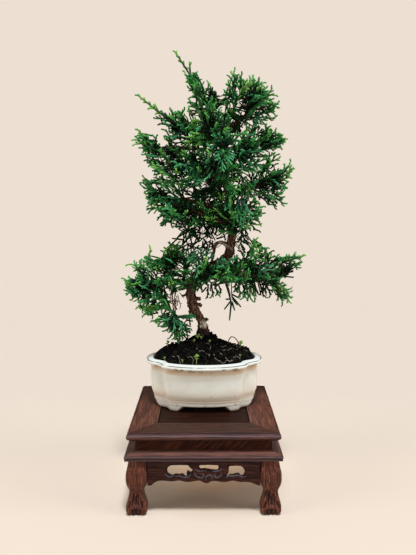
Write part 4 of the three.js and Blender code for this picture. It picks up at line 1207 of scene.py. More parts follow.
# Sprays seen against the background: from right and height, to right and height
EDGE_SPRAYS = {
    "leader": [
        (-16, 446, -31, 469), (-50, 407, -71, 424), (84, 242, 114, 253), (-58, 372, -72, 389),
        (-62, 240, -58, 262), (80, 334, 99, 347),
    ],
    "fresh": [
        (-14, 444, -15, 460), (-8, 433, -8, 449), (-12, 437, -22, 446), (-9, 432, -20, 439),
        (-8, 432, -3, 441), (0, 420, 8, 438), (-38, 398, -58, 414), (-50, 364, -76, 379),
        (86, 243, 105, 255), (78, 335, 95, 353), (-64, 234, -82, 244), (-60, 224, -91, 225),
        (72, 222, 100, 203), (52, 248, 58, 273), (66, 369, 90, 380),
    ],
    "edge": [
        (-6, 430, -2, 436), (-9, 426, -19, 432), (-5, 418, -14, 424), (5, 418, 14, 428), (2, 415, 0, 432),
        (-4, 405, -18, 418), (-5, 408, -12, 417), (-33, 396, -34, 411), (-30, 398, -30, 409),
        (-24, 396, -22, 411), (-12, 402, -18, 411), (-58, 370, -71, 384), (-52, 364, -63, 383),
        (-48, 362, -53, 382), (-50, 360, -70, 370), (-45, 358, -66, 363), (-34, 374, -42, 390),
        (-34, 368, -42, 382), (-45, 328, -69, 335), (-45, 322, -68, 326), (-45, 320, -66, 319),
        (-42, 316, -64, 313), (-40, 312, -64, 309), (-42, 308, -61, 300), (-38, 304, -52, 299),
        (36, 420, 25, 438), (34, 420, 32, 450), (40, 422, 38, 446), (43, 424, 42, 442), (46, 422, 50, 444),
        (48, 420, 55, 443), (50, 420, 61, 440), (52, 416, 67, 434), (56, 416, 77, 426), (62, 410, 83, 415),
        (36, 414, 20, 418), (34, 418, 20, 428), (60, 404, 79, 407), (60, 400, 79, 399), (56, 398, 71, 397),
        (62, 376, 71, 394), (64, 374, 79, 388), (66, 372, 83, 386), (70, 376, 88, 376), (62, 366, 86, 371),
        (66, 345, 72, 364), (68, 346, 80, 363), (72, 346, 80, 353), (72, 338, 85, 346), (78, 332, 96, 338),
        (76, 326, 93, 327), (74, 320, 88, 314), (72, 318, 90, 307), (62, 316, 75, 306), (48, 306, 66, 304),
        (50, 310, 64, 309), (52, 302, 67, 297), (50, 296, 62, 293), (52, 292, 64, 288), (50, 290, 60, 284),
        (-66, 236, -72, 249), (-62, 232, -78, 237), (-62, 230, -76, 230), (-58, 218, -89, 212),
        (-56, 214, -82, 205), (-54, 210, -74, 197), (-54, 210, -74, 191), (-52, 206, -66, 184),
        (-52, 206, -60, 182), (-50, 238, -48, 252), (-38, 242, -42, 263), (-38, 242, -34, 268),
        (-30, 245, -30, 267), (-26, 245, -22, 263), (-20, 244, -12, 254), (-50, 222, -52, 205),
        (-47, 220, -45, 190), (-44, 218, -42, 186), (-33, 220, -31, 206), (-38, 188, -52, 183),
        (-38, 186, -58, 177), (-36, 184, -54, 173), (-35, 182, -46, 170), (-28, 182, -10, 185),
        (34, 242, 37, 254), (56, 250, 69, 263), (66, 242, 80, 254), (72, 242, 86, 252), (84, 240, 94, 254),
        (90, 243, 109, 241), (84, 240, 97, 236), (78, 236, 95, 233), (78, 232, 90, 230), (74, 228, 87, 226),
        (74, 224, 86, 220), (70, 224, 92, 217), (76, 218, 97, 213), (78, 216, 89, 198), (50, 232, 52, 201),
        (47, 222, 44, 204), (54, 222, 56, 206),
    ],
    "emerald": [
        (-34, 184, -42, 164), (-33, 182, -36, 159), (-32, 182, -31, 155), (-31, 182, -26, 155),
        (-30, 180, -20, 160), (-28, 178, -14, 166), (-32, 172, -29, 152), (-36, 186, -48, 170),
    ],
    "dark": [
        (-18, 280, -27, 276), (-10, 282, -16, 274), (-2, 284, -8, 276), (4, 283, 2, 272),
        (-20, 284, -30, 280), (8, 284, 12, 274), (-14, 272, -22, 268), (-6, 268, -12, 262),
        (2, 266, -2, 258), (16, 284, 22, 276), (-40, 395, -53, 402), (-38, 392, -50, 394),
        (76, 328, 89, 332), (66, 316, 82, 304), (48, 290, 59, 278), (46, 286, 53, 277), (44, 282, 50, 273),
        (42, 282, 41, 262), (42, 272, 36, 264), (42, 274, 49, 264), (-24, 324, -8, 314), (-12, 326, 4, 318),
        (-2, 312, 14, 320), (2, 324, 18, 314), (8, 310, 22, 318), (-14, 308, 2, 312), (14, 326, 24, 316),
        (-26, 312, -12, 308), (66, 222, 77, 206), (62, 222, 67, 204), (56, 224, 58, 208),
        (70, 246, 73, 258), (45, 248, 40, 258), (46, 248, 52, 258), (-2, 224, -8, 210), (14, 230, 13, 217),
    ],
    "thin": [
        (-42, 352, -65, 356), (-42, 350, -64, 353), (-38, 345, -56, 342), (-38, 343, -56, 339),
        (-36, 298, -53, 293), (-38, 294, -50, 285), (-36, 296, -47, 282), (-33, 296, -37, 285),
        (-28, 294, -30, 283), (-28, 286, -13, 286), (-10, 283, -18, 274), (62, 368, 84, 369),
        (58, 366, 70, 366), (-5, 405, -17, 402), (-7, 406, -17, 408), (-32, 204, -32, 180),
        (5, 220, 4, 202), (8, 222, 11, 203), (12, 219, 17, 205), (16, 220, 20, 208), (38, 226, 41, 203),
        (36, 224, 34, 209), (42, 223, 47, 207), (40, 223, 37, 211),
    ],
    "finger": [
        (24, 222, 28, 209), (28, 210, 31, 196), (30.5, 198, 29, 178.5), (30, 201, 22.5, 191.5),
        (31, 206, 42, 194), (32, 203, 37.5, 196), (31, 208, 40, 204), (30, 203, 24, 203),
        (31, 199, 35, 190), (31.5, 200, 34, 192), (3, 216, -1, 211), (48, 212, 44, 204),
        (-33, 168, -32, 158), (-29, 168, -27, 155), (-31, 172, -40, 165), (-31, 170, -35, 164),
        (44, 274, 50, 268), (43, 268, 49, 263), (40, 266, 46, 258), (46, 254, 41, 263), (48, 254, 53, 259),
    ],
    "pale_finger": [
        (-30, 183, -11, 186), (-20, 179, -12, 178), (-28, 175, -14, 172), (-27, 173, -15, 165),
    ],
    "dark_finger": [
        (-4, 276, -14, 279), (-4, 279, -15, 282), (-3, 282, -13, 286.5), (-2, 284, -9, 290),
        (2, 280, 0, 292), (4, 278, 9, 288), (-4, 272, -8, 265), (0, 270, 5, 262), (1, 272, -6, 266),
        (3, 268, -1, 262), (-8, 277, -19, 271), (-16, 275, -11, 259), (-12, 262, -2, 257),
        (-20, 276, -18, 264), (-18, 264, -9, 258), (-22, 278, -22, 263), (-18, 278, -28, 272),
        (-24, 284, -34, 284), (10, 270, 3, 274), (8, 268, 1, 264), (12, 274, 16, 285), (14, 270, 24, 273),
        (16, 274, 26, 281), (5, 264, 2, 253), (16, 262, 16.5, 252), (12, 260, 11, 251), (6, 266, 13, 262),
        (8, 276, 13, 268), (14, 278, 12, 290), (20, 278, 20, 290), (24, 268, 21, 279), (-6, 268, -10, 276),
        (6, 284, 12, 279), (-12, 286, -20, 280), (0, 276, 8, 272), (50, 228, 54, 207), (54, 228, 60, 209),
        (59, 226, 64, 207), (63, 226, 70, 207), (68, 224, 74, 208), (72, 224, 81, 207), (77, 222, 85, 205),
        (47, 226, 49, 209), (66, 220, 66, 205),
    ],
}
# Sprays that hang over the front of the foliage
FRONT_SPRAYS = {
    "dry": [
        (-36, 214, -38, 198), (-32, 210, -33, 190), (-29, 208, -25, 192), (-27, 210, -21, 203),
        (-35, 210, -34, 196), (-30, 206, -29, 194), (-6, 404, -17, 405),
    ],
    "whip": [
        (34, 240, 19, 248), (30, 236, 15, 241), (25, 243, 37, 251), (14, 240, 23, 251), (22, 238, 30, 230),
        (4, 246, 12, 255), (-2, 248, -4, 262), (2, 248, 6, 262), (-6, 246, -12, 260), (-12, 350, -32, 350),
        (-13, 350, -22, 343), (-12, 350, -17, 329), (-12, 348, -13, 332), (-10, 350, -8, 327),
        (-9, 352, -5, 330), (19, 367, 13, 358), (19, 366, 14, 352), (20, 367, 20, 342), (22, 367, 27, 350),
        (23, 366, 31, 355), (22, 368, 34, 358), (18, 369, 0, 370), (19, 370, 17, 386), (22, 370, 26, 388),
        (24, 370, 38, 378), (17, 371, 8, 386), (35, 362, 66, 366), (38, 359, 43, 343), (42, 359, 57, 346),
        (50, 359, 64, 345), (40, 351, 52, 342), (40, 312, 52, 296), (39, 311, 41, 284), (41, 311, 46, 288),
        (42, 312, 51, 290), (38, 312, 36, 290), (19, 312, 10, 306), (26, 314, 30, 318), (25, 312, 23, 300),
        (26, 312, 29, 303), (57, 406, 51, 392), (57, 405, 56, 388), (58, 405, 62, 391), (60, 406, 67, 397),
        (-5, 250, -21, 249), (-6, 249, -19, 245), (-5, 250, -8, 226), (42, 246, 35, 252),
        (42, 246, 46, 255), (42, 245, 36, 238), (-30, 182, -8, 184), (-34, 184, -46, 178),
        (-32, 184, -34, 166), (-30, 182, -24, 168), (60, 236, 74, 230), (62, 238, 80, 242),
        (-58, 224, -70, 214), (-58, 226, -64, 240), (-52, 216, -58, 200), (26, 420, 40, 426),
        (46, 414, 60, 424), (-50, 318, -60, 310), (-34, 312, -44, 302), (70, 336, 84, 328),
        (10, 344, 2, 334), (30, 332, 22, 322), (-24, 384, -36, 376), (0, 392, -10, 384), (44, 378, 56, 384),
    ],
    "pale_finger": [(-8, 236, -14, 209), (-7, 232, -5, 220)],
    "fresh": [
        (-15, 362, -15, 376), (-10, 369, -10, 383), (0, 394, -14, 399), (5, 392, 3, 406),
        (-24, 338, -31, 345), (7, 354, 5, 367), (-18, 354, -21, 368), (-42, 306, -49, 303),
        (-32, 292, -32, 304), (-20, 290, -20, 303), (3, 290, 5, 304), (10, 284, 8, 296), (-4, 338, -6, 351),
        (20, 229, 9, 228), (20, 228, 28, 227), (21, 228, 30, 221), (18, 230, 14, 238), (-2, 398, 10, 412),
        (30, 400, 24, 414), (54, 424, 62, 434), (70, 240, 66, 250), (-46, 232, -54, 240),
        (-66, 220, -78, 222), (64, 374, 74, 384), (28, 290, 34, 302),
    ],
}


def on_sight_line(right, height, back):
    """The point seen at a place in the plane through the trunk, moved back along the camera's sight line."""
    target = PLANT + [right, 0, height]
    reach = 1 + back / (target[1] - CAMERA_FROM_STAND[1])
    return CAMERA_FROM_STAND + (target - CAMERA_FROM_STAND) * reach - PLANT


def seen_at(points):
    """Where the camera sees points, as right and height in the plane through the trunk."""
    away = points + PLANT - CAMERA_FROM_STAND
    reach = (PLANT[1] - CAMERA_FROM_STAND[1]) / away[..., 1]
    right = CAMERA_FROM_STAND[0] + away[..., 0] * reach - PLANT[0]
    return right, CAMERA_FROM_STAND[2] + away[..., 2] * reach


def within(outline, right, height):
    """Whether places lie inside a closed outline."""
    inside = np.zeros(np.shape(right), bool)
    ends = np.array(outline, float)
    for (x0, z0), (x1, z1) in zip(ends, np.roll(ends, -1, axis=0)):
        crossed = (z0 > height) != (z1 > height)
        inside ^= crossed & (right < (x1 - x0) * (height - z0) / (z1 - z0 + 1e-9) + x0)
    return inside


def well_inside(right, height):
    """Whether places lie inside one of the outlines and not close to its edge."""
    result = np.zeros(np.shape(right), bool)
    for outline in (CROWN_OUTLINE, BRANCH_OUTLINE):
        inside = np.ones(np.shape(right), bool)
        for across, up in ((EDGE_MARGIN, 0), (-EDGE_MARGIN, 0), (0, EDGE_MARGIN), (0, -EDGE_MARGIN)):
            inside &= within(outline, right + across, height + up)
        result |= inside
    return result


def in_circles(circles, right, height):
    hit = np.zeros(np.shape(right), bool)
    for x, z, radius in circles:
        hit |= (right - x) ** 2 + (height - z) ** 2 < radius ** 2
    return hit


def allowed(points, free):
    """Whether foliage may be at points. Free foliage may leave the outlines."""
    right, height = seen_at(points)
    inside = well_inside(right, height) & ~in_circles(SPARSE, right, height)
    in_pocket = in_circles(POCKETS, right, height) & (points[..., 1] < -POCKET_DEPTH)
    return (free | (inside & ~in_pocket)) & ~in_circles(GAPS, right, height)


def wood_points():
    lines = [spline(stations, 5) for stations in [TRUNK] + BRANCHES]
    return np.concatenate(lines)[:, :3]


WOOD_POINTS = wood_points()


def fan_hearts():
    """For each clump, the place between trunk and clump from which its sprays fan out."""
    trunk = spline(TRUNK, 8)[:, :3]
    hearts = {}
    for name, (centre, half) in CLUMPS.items():
        stem = trunk[np.argmin(np.abs(trunk[:, 2] - (centre[2] - 14)))]
        hearts[name] = stem * 0.5 + centre * 0.5 - [0, 0, 0.25 * half[2]]
    return hearts


FAN_HEARTS = fan_hearts()


def fanned_out(point, name):
    """The way of a spray at a point: from the heart of its clump outwards, a little up, and at random."""
    return unit(unit(point - FAN_HEARTS[name]) + rng.normal(0, 0.2, 3) + [0, 0, 0.15])


def front_surface(right, height):
    """How far back the front of the foliage is at a place."""
    nearest = 0.0
    for centre, half in CLUMPS.values():
        across = ((right - centre[0]) / half[0]) ** 2 + ((height - centre[2]) / half[2]) ** 2
        if across < 1:
            nearest = min(nearest, centre[1] - half[1] * math.sqrt(1 - across))
    return nearest


def nearest_clump(point):
    """The clump that a point belongs to, of the crown or of the lower branches."""
    in_crown = point[2] > CROWN_FOOT
    scores = {name: np.linalg.norm((point - centre) / half) for name, (centre, half) in CLUMPS.items()
              if (centre[2] > CROWN_FOOT) == in_crown}
    return min(scores, key=scores.get)


def crowding(point, own):
    """How deep a point lies inside the other clumps: under 1 is inside one of them."""
    others = [place for name, place in CLUMPS.items() if name != own]
    return min(np.linalg.norm((point - centre) / half) for centre, half in others)


# A spray still to be grown. side is the way its side shoots lean, bend its droop, and look its place in the
# colours. free is 1 where it may leave the outlines, and bare counts the orders of side shoots it lacks.
Spray = namedtuple("Spray", "base aim side length width angle bend look free bare")


def planned(base, tip, side, width, angle, bend, look, free=0.0, bare=0.0):
    """A spray from its two ends. The angle of its side shoots is in degrees."""
    length = np.linalg.norm(tip - base)
    aim = (tip - base) / length
    return Spray(base, aim, side, length, width, math.radians(angle), bend, look, free, bare)


def tangle_lines():
    """Bare shoots at random under the left of the crown, near-black as painted shade, most of them pointing
    down to the left.
    """
    middle, half = (-7, 272), (19, 13)
    lines = []
    for _ in range(26):
        turn, out = rng.uniform(0, 2 * math.pi), math.sqrt(rng.uniform(0, 1))
        right = middle[0] + half[0] * out * math.cos(turn)
        height = middle[1] + half[1] * out * math.sin(turn)
        way, length = math.radians(rng.normal(215, 65)), rng.uniform(7, 14)
        lines.append((right, height, right + length * math.cos(way), height + length * math.sin(way)))
    return lines


def pocket_shade_lines():
    """Near-black sprays at random behind the pockets, as painted shade."""
    lines = []
    for right, height, radius in POCKETS:
        for turn in rng.uniform(0, 2 * math.pi, 5):
            across, up = (radius + 4) * math.cos(turn), (radius + 4) * math.sin(turn)
            lines.append((right - across, height - up, right + across, height + up))
    return lines


def plan_sprays():
    """The sprays of each clump: first those at chosen places, then those at random that fill the clumps."""
    plans = {name: [] for name in CLUMPS}
    for line in pocket_shade_lines():
        add_seen_spray(plans, line, "dark", rng.uniform(0, 18) + rng.normal(0, 3, 2))
    for line in tangle_lines():
        add_seen_spray(plans, line, "dark_finger", rng.uniform(-7, 7) + rng.normal(0, 3, 2))
    for kind, lines in EDGE_SPRAYS.items():
        for line in lines:
            add_seen_spray(plans, line, kind, rng.uniform(-9, 9) + rng.normal(0, 3, 2))
    for kind, lines in FRONT_SPRAYS.items():
        for line in lines:
            add_seen_spray(plans, line, kind, (front_surface(*line[:2]) + 7, front_surface(*line[2:]) - 3))
    for name in CLUMPS:
        if name not in NARROW:
            plans[name] += outer_sprays(name) + inner_shade_sprays(name)
    close_openings(plans)
    return plans


def add_seen_spray(plans, line, kind, depths):
    """Plans a spray by where the camera sees its two ends and by how far back they are."""
    base = on_sight_line(line[0], line[1], depths[0])
    tip = on_sight_line(line[2], line[3], depths[1])
    is_finger = kind.endswith("finger")
    if kind != "leader" and not is_finger:
        tip -= unit(tip - base) * 2.0
    side = unit(np.cross(tip - base, [0.0, 1.0, 0.0]) + rng.normal(0, 3, 3))
    look = np.clip(KINDS[kind].look + rng.normal(0, 0.025), 0, 1)
    width = KINDS[kind].width * rng.uniform(0.9, 1.15)
    bare = 2.0 if is_finger else 1.0 if kind in ONE_ORDER else 0.0
    spray = planned(base, tip, side, width, KINDS[kind].angle, 0.03, look, free=1.0, bare=bare)
    plans[nearest_clump((base + tip) / 2)].append(spray)


def outer_sprays(name):
    """Sprays that end near the surface of a clump, leaning up, where no other clump covers them."""
    centre, half = CLUMPS[name]
    area = (half[0] * half[1] + half[1] * half[2] + half[0] * half[2]) / 3
    sprays = []
    for way in even_ways(int(area * OUTER_DENSITY)):
        out = half * unit(way + rng.normal(0, 0.16, 3))
        tip = centre + out * rng.uniform(0.7, 1.08)
        if crowding(tip, name) < 0.8 and rng.random() > 0.3:
            continue
        aim = fanned_out(tip, name)
        length = rng.uniform(17, 31)
        tip = drawn_in(tip, aim, length)
        if tip is None:
            continue
        side = unit(np.cross(aim, unit(rng.normal(0, 0.6, 3) + [0, -0.8, 0.8])))
        pale = way[1] < -0.25 and rng.random() < 0.3
        look = rng.uniform(0.74, 0.86) if pale else rng.triangular(0.12, 0.4, 0.62)
        width = rng.uniform(0.28, 0.34) if pale else rng.uniform(0.36, 0.48)
        angle = 24 if pale else rng.uniform(26, 34)
        sprays.append(planned(tip - aim * length, tip, side, width, angle, rng.uniform(-0.06, 0.2), look))
    return sprays


def even_ways(count):
    """Directions spread evenly over a sphere."""
    order = np.arange(count) + 0.5
    polar = np.arccos(1 - 2 * order / count)
    turn = 2 * math.pi * GOLDEN * order
    return np.stack([np.cos(turn) * np.sin(polar), np.sin(turn) * np.sin(polar), np.cos(polar)], -1)


def footprint(spray):
    """The cells of the front view that a spray covers."""
    place, across = np.meshgrid(np.linspace(0.2, 1, 12), np.linspace(-1, 1, 7))
    reach = spray.length * spray.width * np.clip(1.1 - place, 0, 1) * across
    side = unit(spray.side - spray.aim * (spray.side @ spray.aim))
    points = spray.base + spray.aim * (spray.length * place)[..., None] + side * reach[..., None]
    seen = np.stack(seen_at(points), -1).reshape(-1, 2)
    cells = np.unique(((seen - MAP_CORNER) / CELL).astype(int), axis=0)
    return tuple(np.clip(cells, 0, np.array(MAP_SHAPE) - 1).T)


def close_openings(plans):
    """Adds sprays where the foliage seen from the front is still open."""
    cover = np.zeros(MAP_SHAPE)
    for sprays in plans.values():
        for spray in sprays:
            cover[footprint(spray)] += 0.5 if spray.bare else 1.0
    centres = MAP_CORNER + (np.stack(np.indices(MAP_SHAPE), -1) + 0.5) * CELL
    right, height = centres[..., 0], centres[..., 1]
    wanted = well_inside(right, height) & ~in_circles(GAPS + SPARSE, right, height)
    before_trunk = before_upper_trunk(right, height)
    cover -= before_trunk * 1.5
    for _ in range(MOST_FILLING):
        open_cells = np.argwhere(wanted & (cover < FULL_COVER))
        if len(open_cells) < OPEN_CELLS_LEFT:
            break
        found = tuple(open_cells[rng.integers(len(open_cells))])
        spray = filling_spray(*centres[found], before_trunk[found])
        cells = footprint(spray)
        if cover[cells].mean() < FULL_COVER + 0.4:
            cover[cells] += 1
            plans[nearest_clump(spray.base + spray.aim * spray.length / 2)].append(spray)


def before_upper_trunk(right, height):
    """Whether places are seen before the trunk where it runs through the crown."""
    stem = spline(TRUNK, 8)[:, :3]
    stem_right, stem_height = seen_at(stem[stem[:, 2] > UPPER_TRUNK])
    gaps = np.hypot(right[..., None] - stem_right, height[..., None] - stem_height)
    return np.min(gaps, axis=-1) < COVERED_WIDTH


def filling_spray(right, height, before_trunk):
    """A spray whose middle the camera sees at a place, fanning out from the heart of its clump."""
    middle = on_sight_line(right, height, rng.uniform(-32, -14) if before_trunk else rng.uniform(-24, 10))
    aim = fanned_out(middle, nearest_clump(middle))
    length = rng.uniform(17, 27)
    tip = middle + aim * length * 0.45
    side = unit(np.cross(aim, [0.0, 1.0, 0.0]) + rng.normal(0, 0.4, 3))
    # In a pocket the spray is near-black, as painted shade
    look = 0.06 if in_circles(POCKETS, right, height) else rng.triangular(0.12, 0.38, 0.62)
    width, angle, bend = rng.uniform(0.36, 0.48), rng.uniform(26, 34), rng.uniform(-0.06, 0.2)
    return planned(tip - aim * length, tip, side, width, angle, bend, look)


def drawn_in(tip, aim, length):
    """The tip, moved back until it is inside the outline, or None if it takes too much."""
    for share in (0.0, 0.15, 0.3, 0.45):
        moved = tip - aim * length * share
        if allowed(moved[None], np.array([False]))[0]:
            return moved
    return None


def inner_shade_sprays(name):
    """Near-black sprays deep in a clump, painted shade that closes the view through it."""
    centre, half = CLUMPS[name]
    sprays = []
    for _ in range(INNER_SHADE_SPRAYS):
        way = unit(rng.normal(0, 1, 3))
        tip = centre + half * way * rng.uniform(0.35, 0.75)
        base = centre - half * way * rng.uniform(0.0, 0.35) + rng.normal(0, 3, 3)
        side = unit(np.cross(tip - base, rng.normal(0, 1, 3)))
        sprays.append(planned(base, tip, side, 0.5, 48, 0.0, rng.uniform(0, 0.1), bare=1.0))
    return sprays


class Shoots:
    """Curved shoots: each leaves its origin on its heading, bends by its curl and has side shoots across."""

    def __init__(self, **fields):
        self.__dict__.update(fields)

    def at(self, place):
        line = self.heading[:, None] * place[..., None] + self.curl[:, None] * place[..., None] ** 2
        return self.origin[:, None] + self.reach[:, None, None] * line

    def way(self, place):
        return unit(self.heading[:, None] + 2 * self.curl[:, None] * place[..., None])

    def kept(self, mask):
        return Shoots(**{key: value[mask] for key, value in self.__dict__.items()})

    def drawn_in(self):
        """Shortens shoots until their ends are inside the outlines. One that starts outside is dropped."""
        reach = self.reach
        best = np.zeros(len(reach))
        for share in (1.0, 0.85, 0.7, 0.55):
            self.reach = reach * share
            fits = allowed(self.at(np.ones((len(reach), 1))), self.free[:, None] > 0)[:, 0]
            best = np.where((best == 0) & fits, share, best)
        self.reach = reach * best
        return self.kept(best > 0)

    def within_limits(self):
        places = np.broadcast_to([0.5, 1.0], (len(self.reach), 2))
        return self.kept(allowed(self.at(places), self.free[:, None] > 0).all(axis=1))


def stems_of(sprays):
    """The stems of sprays. They start dark and grow lighter towards the tip, by their gain."""
    spray = Spray(*[np.array(values) for values in zip(*sprays)])
    side = unit(spray.side - spray.aim * np.sum(spray.side * spray.aim, -1, keepdims=True))
    sway = np.cross(spray.aim, side) * rng.normal(0, 0.05, (len(sprays), 1))
    droop = np.array([0, 0, -1.0]) * spray.bend[:, None]
    inherited = {key: getattr(spray, key) for key in ("look", "free", "bare", "width", "angle")}
    return Shoots(origin=spray.base, heading=spray.aim, curl=sway + droop, across=side, reach=spray.length,
                  tone=np.full(len(sprays), 0.1), gain=np.full(len(sprays), 0.75), **inherited)


def slender(stems):
    """Whether stems belong to leaders or dry sprays, which have the shortest side shoots."""
    return stems.width < 0.17


def side_shoots(stems, gap, most, longest, lift, first):
    """Shoots that leave the two sides of their stems by turns.

    They are at least gap apart, at most so many to a stem, and the first is so many gaps from the foot.
    longest gives their length from place and stem, and lift is how far they leave the plane of the spray.
    """
    count = len(stems.reach)
    leaders = slender(stems) & (stems.look < 0.9)
    gap = gap * np.select([leaders, stems.bare > 0, stems.free > 0], [0.8, 1.35, 1.15], 1.0)
    step = np.maximum(gap, stems.reach / (most + 0.6)) / stems.reach
    place = (np.arange(most) + first + rng.uniform(-0.2, 0.2, (count, most))) * step[:, None]
    sign = np.where((np.arange(most) + rng.integers(0, 2, (count, 1))) % 2, 1.0, -1.0)
    way = stems.way(place)
    normal = unit(np.cross(way, stems.across[:, None]))
    turn = stems.angle[:, None] + rng.normal(0, 0.05, place.shape)
    outward = np.cross(normal, way) * (sign * np.sin(turn))[..., None]
    rise = normal * rng.normal(0, lift, place.shape)[..., None]
    heading = unit(way * np.cos(turn)[..., None] + outward + rise)
    reach = longest(place, stems) * rng.uniform(0.8, 1.2, place.shape)
    tone = 0.93 * (stems.tone[:, None] + stems.gain[:, None] * place) + rng.normal(0, 0.08, place.shape)
    look = stems.look[:, None] + rng.normal(0, 0.08, place.shape) * (stems.look < 0.7)[:, None]
    across = unit(np.cross(normal, heading))
    inherited = {key: np.broadcast_to(getattr(stems, key)[:, None], place.shape)
                 for key in ("free", "bare", "width")}
    shoots = Shoots(origin=stems.at(place), heading=heading, curl=0.03 * way, across=across, reach=reach,
                    tone=np.maximum(tone, 0.1), gain=np.full(place.shape, 0.58),
                    look=np.minimum(look, 0.99), angle=np.full(place.shape, 0.6), **inherited)
    return shoots.kept(place < 0.96)


def first_order(place, stems):
    shape = (0.45 + 1.3 * place) * np.clip(1 - place, 0, 1) ** 0.7 / 0.68
    shortest = np.where(slender(stems), 3.4, 4.4)[:, None]
    return np.maximum((stems.reach * stems.width)[:, None] * shape, shortest)


def second_order(place, stems):
    return np.clip(0.55 * stems.reach[:, None] * (1.15 - 0.6 * place), 3.0, 5.2)


def spray_mesh(name, sprays):
    """Every spray of a clump: a stem, its side shoots, and short shoots on those."""
    stems = stems_of(sprays).drawn_in()
    branched = stems.kept(stems.bare < 2)
    sides = side_shoots(branched, 4.0, 8, first_order, 0.1, 0.9).within_limits()
    forking = sides.kept(sides.bare < 1)
    stubs = side_shoots(forking, 3.6, 2, second_order, 0.12, 1.15).within_limits()
    parts = [
        shoot_part(stems, (0, 0.2, 0.4, 0.6, 0.8, 0.96, 1), (1.1, 1.08, 1.05, 1, 0.95, 0.8, 0)),
        shoot_part(sides, (0, 0.45, 0.9, 1), (0.92, 1, 0.86, 0)),
        shoot_part(stubs, (0, 0.82, 1), (0.9, 0.86, 0)),
        twigs(stems),
    ]
    shapes, marks = zip(*[part for part in parts if part])
    marks = {key: np.concatenate([values[key] for values in marks]) for key in ("tip", "look", "along")}
    mesh = mesh_from(name, *joined(shapes), marks)
    add_color_map(mesh, marks["tip"], marks["look"])
    return mesh


def shoot_part(shoots, places, widths):
    """The tubes of some shoots. places and widths give the rings along each and how thick they are."""
    count = len(shoots.reach)
    if not count:
        return None
    place = np.broadcast_to(places, (count, len(places)))
    dry = shoots.look > 0.95
    thick_finger = (shoots.bare > 1) & (shoots.look > 0.2)
    on_edge = (shoots.bare < 2) & (shoots.free > 0)
    thin = np.where(dry, 0.5, 1.0) * np.where(thick_finger, 1.2, 1.0) * np.where(on_edge, 1.15, 1.0)
    radii = SHOOT_RADIUS * thin[:, None] * np.array(widths)
    tone = shoots.tone[:, None] + shoots.gain[:, None] * place
    look = np.clip(shoots.look, 0.01, 0.99)[:, None]
    return marked_tubes(shoots.at(place), radii, tone, look, shoots.reach[:, None] * place)


def marked_tubes(points, radii, tone, look, along):
    """Three-sided tubes from points measured from the planting point, and the marks of their vertices."""
    marks = {"tip": np.clip(tone, 0.01, 0.99), "look": look, "along": along}
    marks = {key: per_ring(values, points.shape[1], 3) for key, values in marks.items()}
    return tubes(points + PLANT, radii, 3), marks


def twigs(stems):
    """Thin twigs to each spray's foot from one of the nearest places on the wood, higher up if it hangs."""
    bases = stems.origin
    hanging = (stems.bare > 1) & (stems.look < 0.5)
    above = np.where(hanging, 16.0, 4.0)[:, None, None] * [0, 0, 1]
    gaps = np.linalg.norm(bases[:, None] - WOOD_POINTS[None] + above, axis=-1)
    nearest = np.argsort(gaps, axis=1)[:, :12]
    picked = rng.integers(0, np.where(hanging, 12, 6))
    roots = WOOD_POINTS[nearest[np.arange(len(bases)), picked]]
    place = np.linspace(0, 1, 5)
    sag = 0.12 * np.linalg.norm(bases - roots, axis=1)[:, None, None] * (4 * place * (1 - place))[:, None]
    points = roots[:, None] * (1 - place)[:, None] + bases[:, None] * place[:, None] - sag * [0, 0, 1]
    kept = hanging | (allowed(points, np.zeros(place.shape, bool)).mean(axis=1) > 0.9)
    if not kept.any():
        return None
    points, hanging = points[kept], hanging[kept, None]
    radii = np.where(hanging, 0.75, 1.0) * [0.9, 0.7, 0.6, 0.55, 0.55]
    return marked_tubes(points, radii, 0.3 * hanging, 0.1 + 0.15 * hanging, 0.0 * hanging)


def add_color_map(mesh, tip, look):
    """A map for exports. A shoot's colour hangs on its tip and look alone, so all shoots share one sheet."""
    corners = np.empty(len(mesh.loops), np.int32)
    mesh.loops.foreach_get("vertex_index", corners)
    spread = np.resize([-0.006, 0.0, 0.006], len(tip))
    places = np.stack([tip, np.clip(look + spread, 0.001, 0.999)], -1)[corners]
    mesh.uv_layers.new(name="OFBake").data.foreach_set("uv", places.astype(np.float32).ravel())


def add_foliage(material):
    for name, rows in plan_sprays().items():
        link_mesh(name + "_shoots", spray_mesh(name, rows), material, [name])


# Seedlings, the looping root and pale rootlets on the soil

def soil_place(x, y, above):
    """A place above the soil, from right and back of the pot's middle, in millimetres."""
    return [POT_X + x, POT_Y + y, float(soil_height(np.float64(x), np.float64(y))) + above]


def round_tube(places, radii, sides):
    """One tube through places. radii is one number, or a number for each place."""
    return tubes(places[None], np.broadcast_to(radii, (1, len(places))), sides)


# Foot on the soil, height and leaf size
SEEDLINGS = {
    "seedling_front": ((-8, -37), 7.5, 3.6), "seedling_left": ((-41, 2), 7, 3.0),
    "seedling_right": ((41, -3), 6, 3.4), "seedling_trunk": ((-7, -12), 4, 3.4),
}
# Weeds too small to be pieces of their own: foot, height, leaf size and number of leaves
TINY_WEEDS = [
    ((-43, -20), 2.5, 2.2, 4), ((-23, -34), 2.5, 2.2, 3), ((6, -15), 2.5, 2.4, 4), ((39, -20), 2.5, 2.0, 3),
    ((-3, -13), 2.5, 2.6, 4), ((-11, -13), 2, 2.4, 3),
]


def leaf(centre, way, length, width):
    """A small pointed leaf, thick enough to be a closed solid."""
    way = unit(np.array(way, float))
    across = unit(np.cross(way, [0.0, 0.0, 1.0]))
    up = np.cross(across, way)
    section = ((-1, 0.12), (0, 0.16), (1, 0.12), (0, -0.16))
    rows = np.linspace(0, 1, 7)
    points = []
    for t in rows:
        half = width / 2 * math.sin(math.pi * min(t * 0.92 + 0.06, 1.0)) ** 0.7
        middle = np.array(centre) + way * length * t + up * length * 0.25 * t * t
        points += [middle + across * half * side + up * height for side, height in section]
    return np.array(points), np.concatenate(skin(len(rows), len(section)))


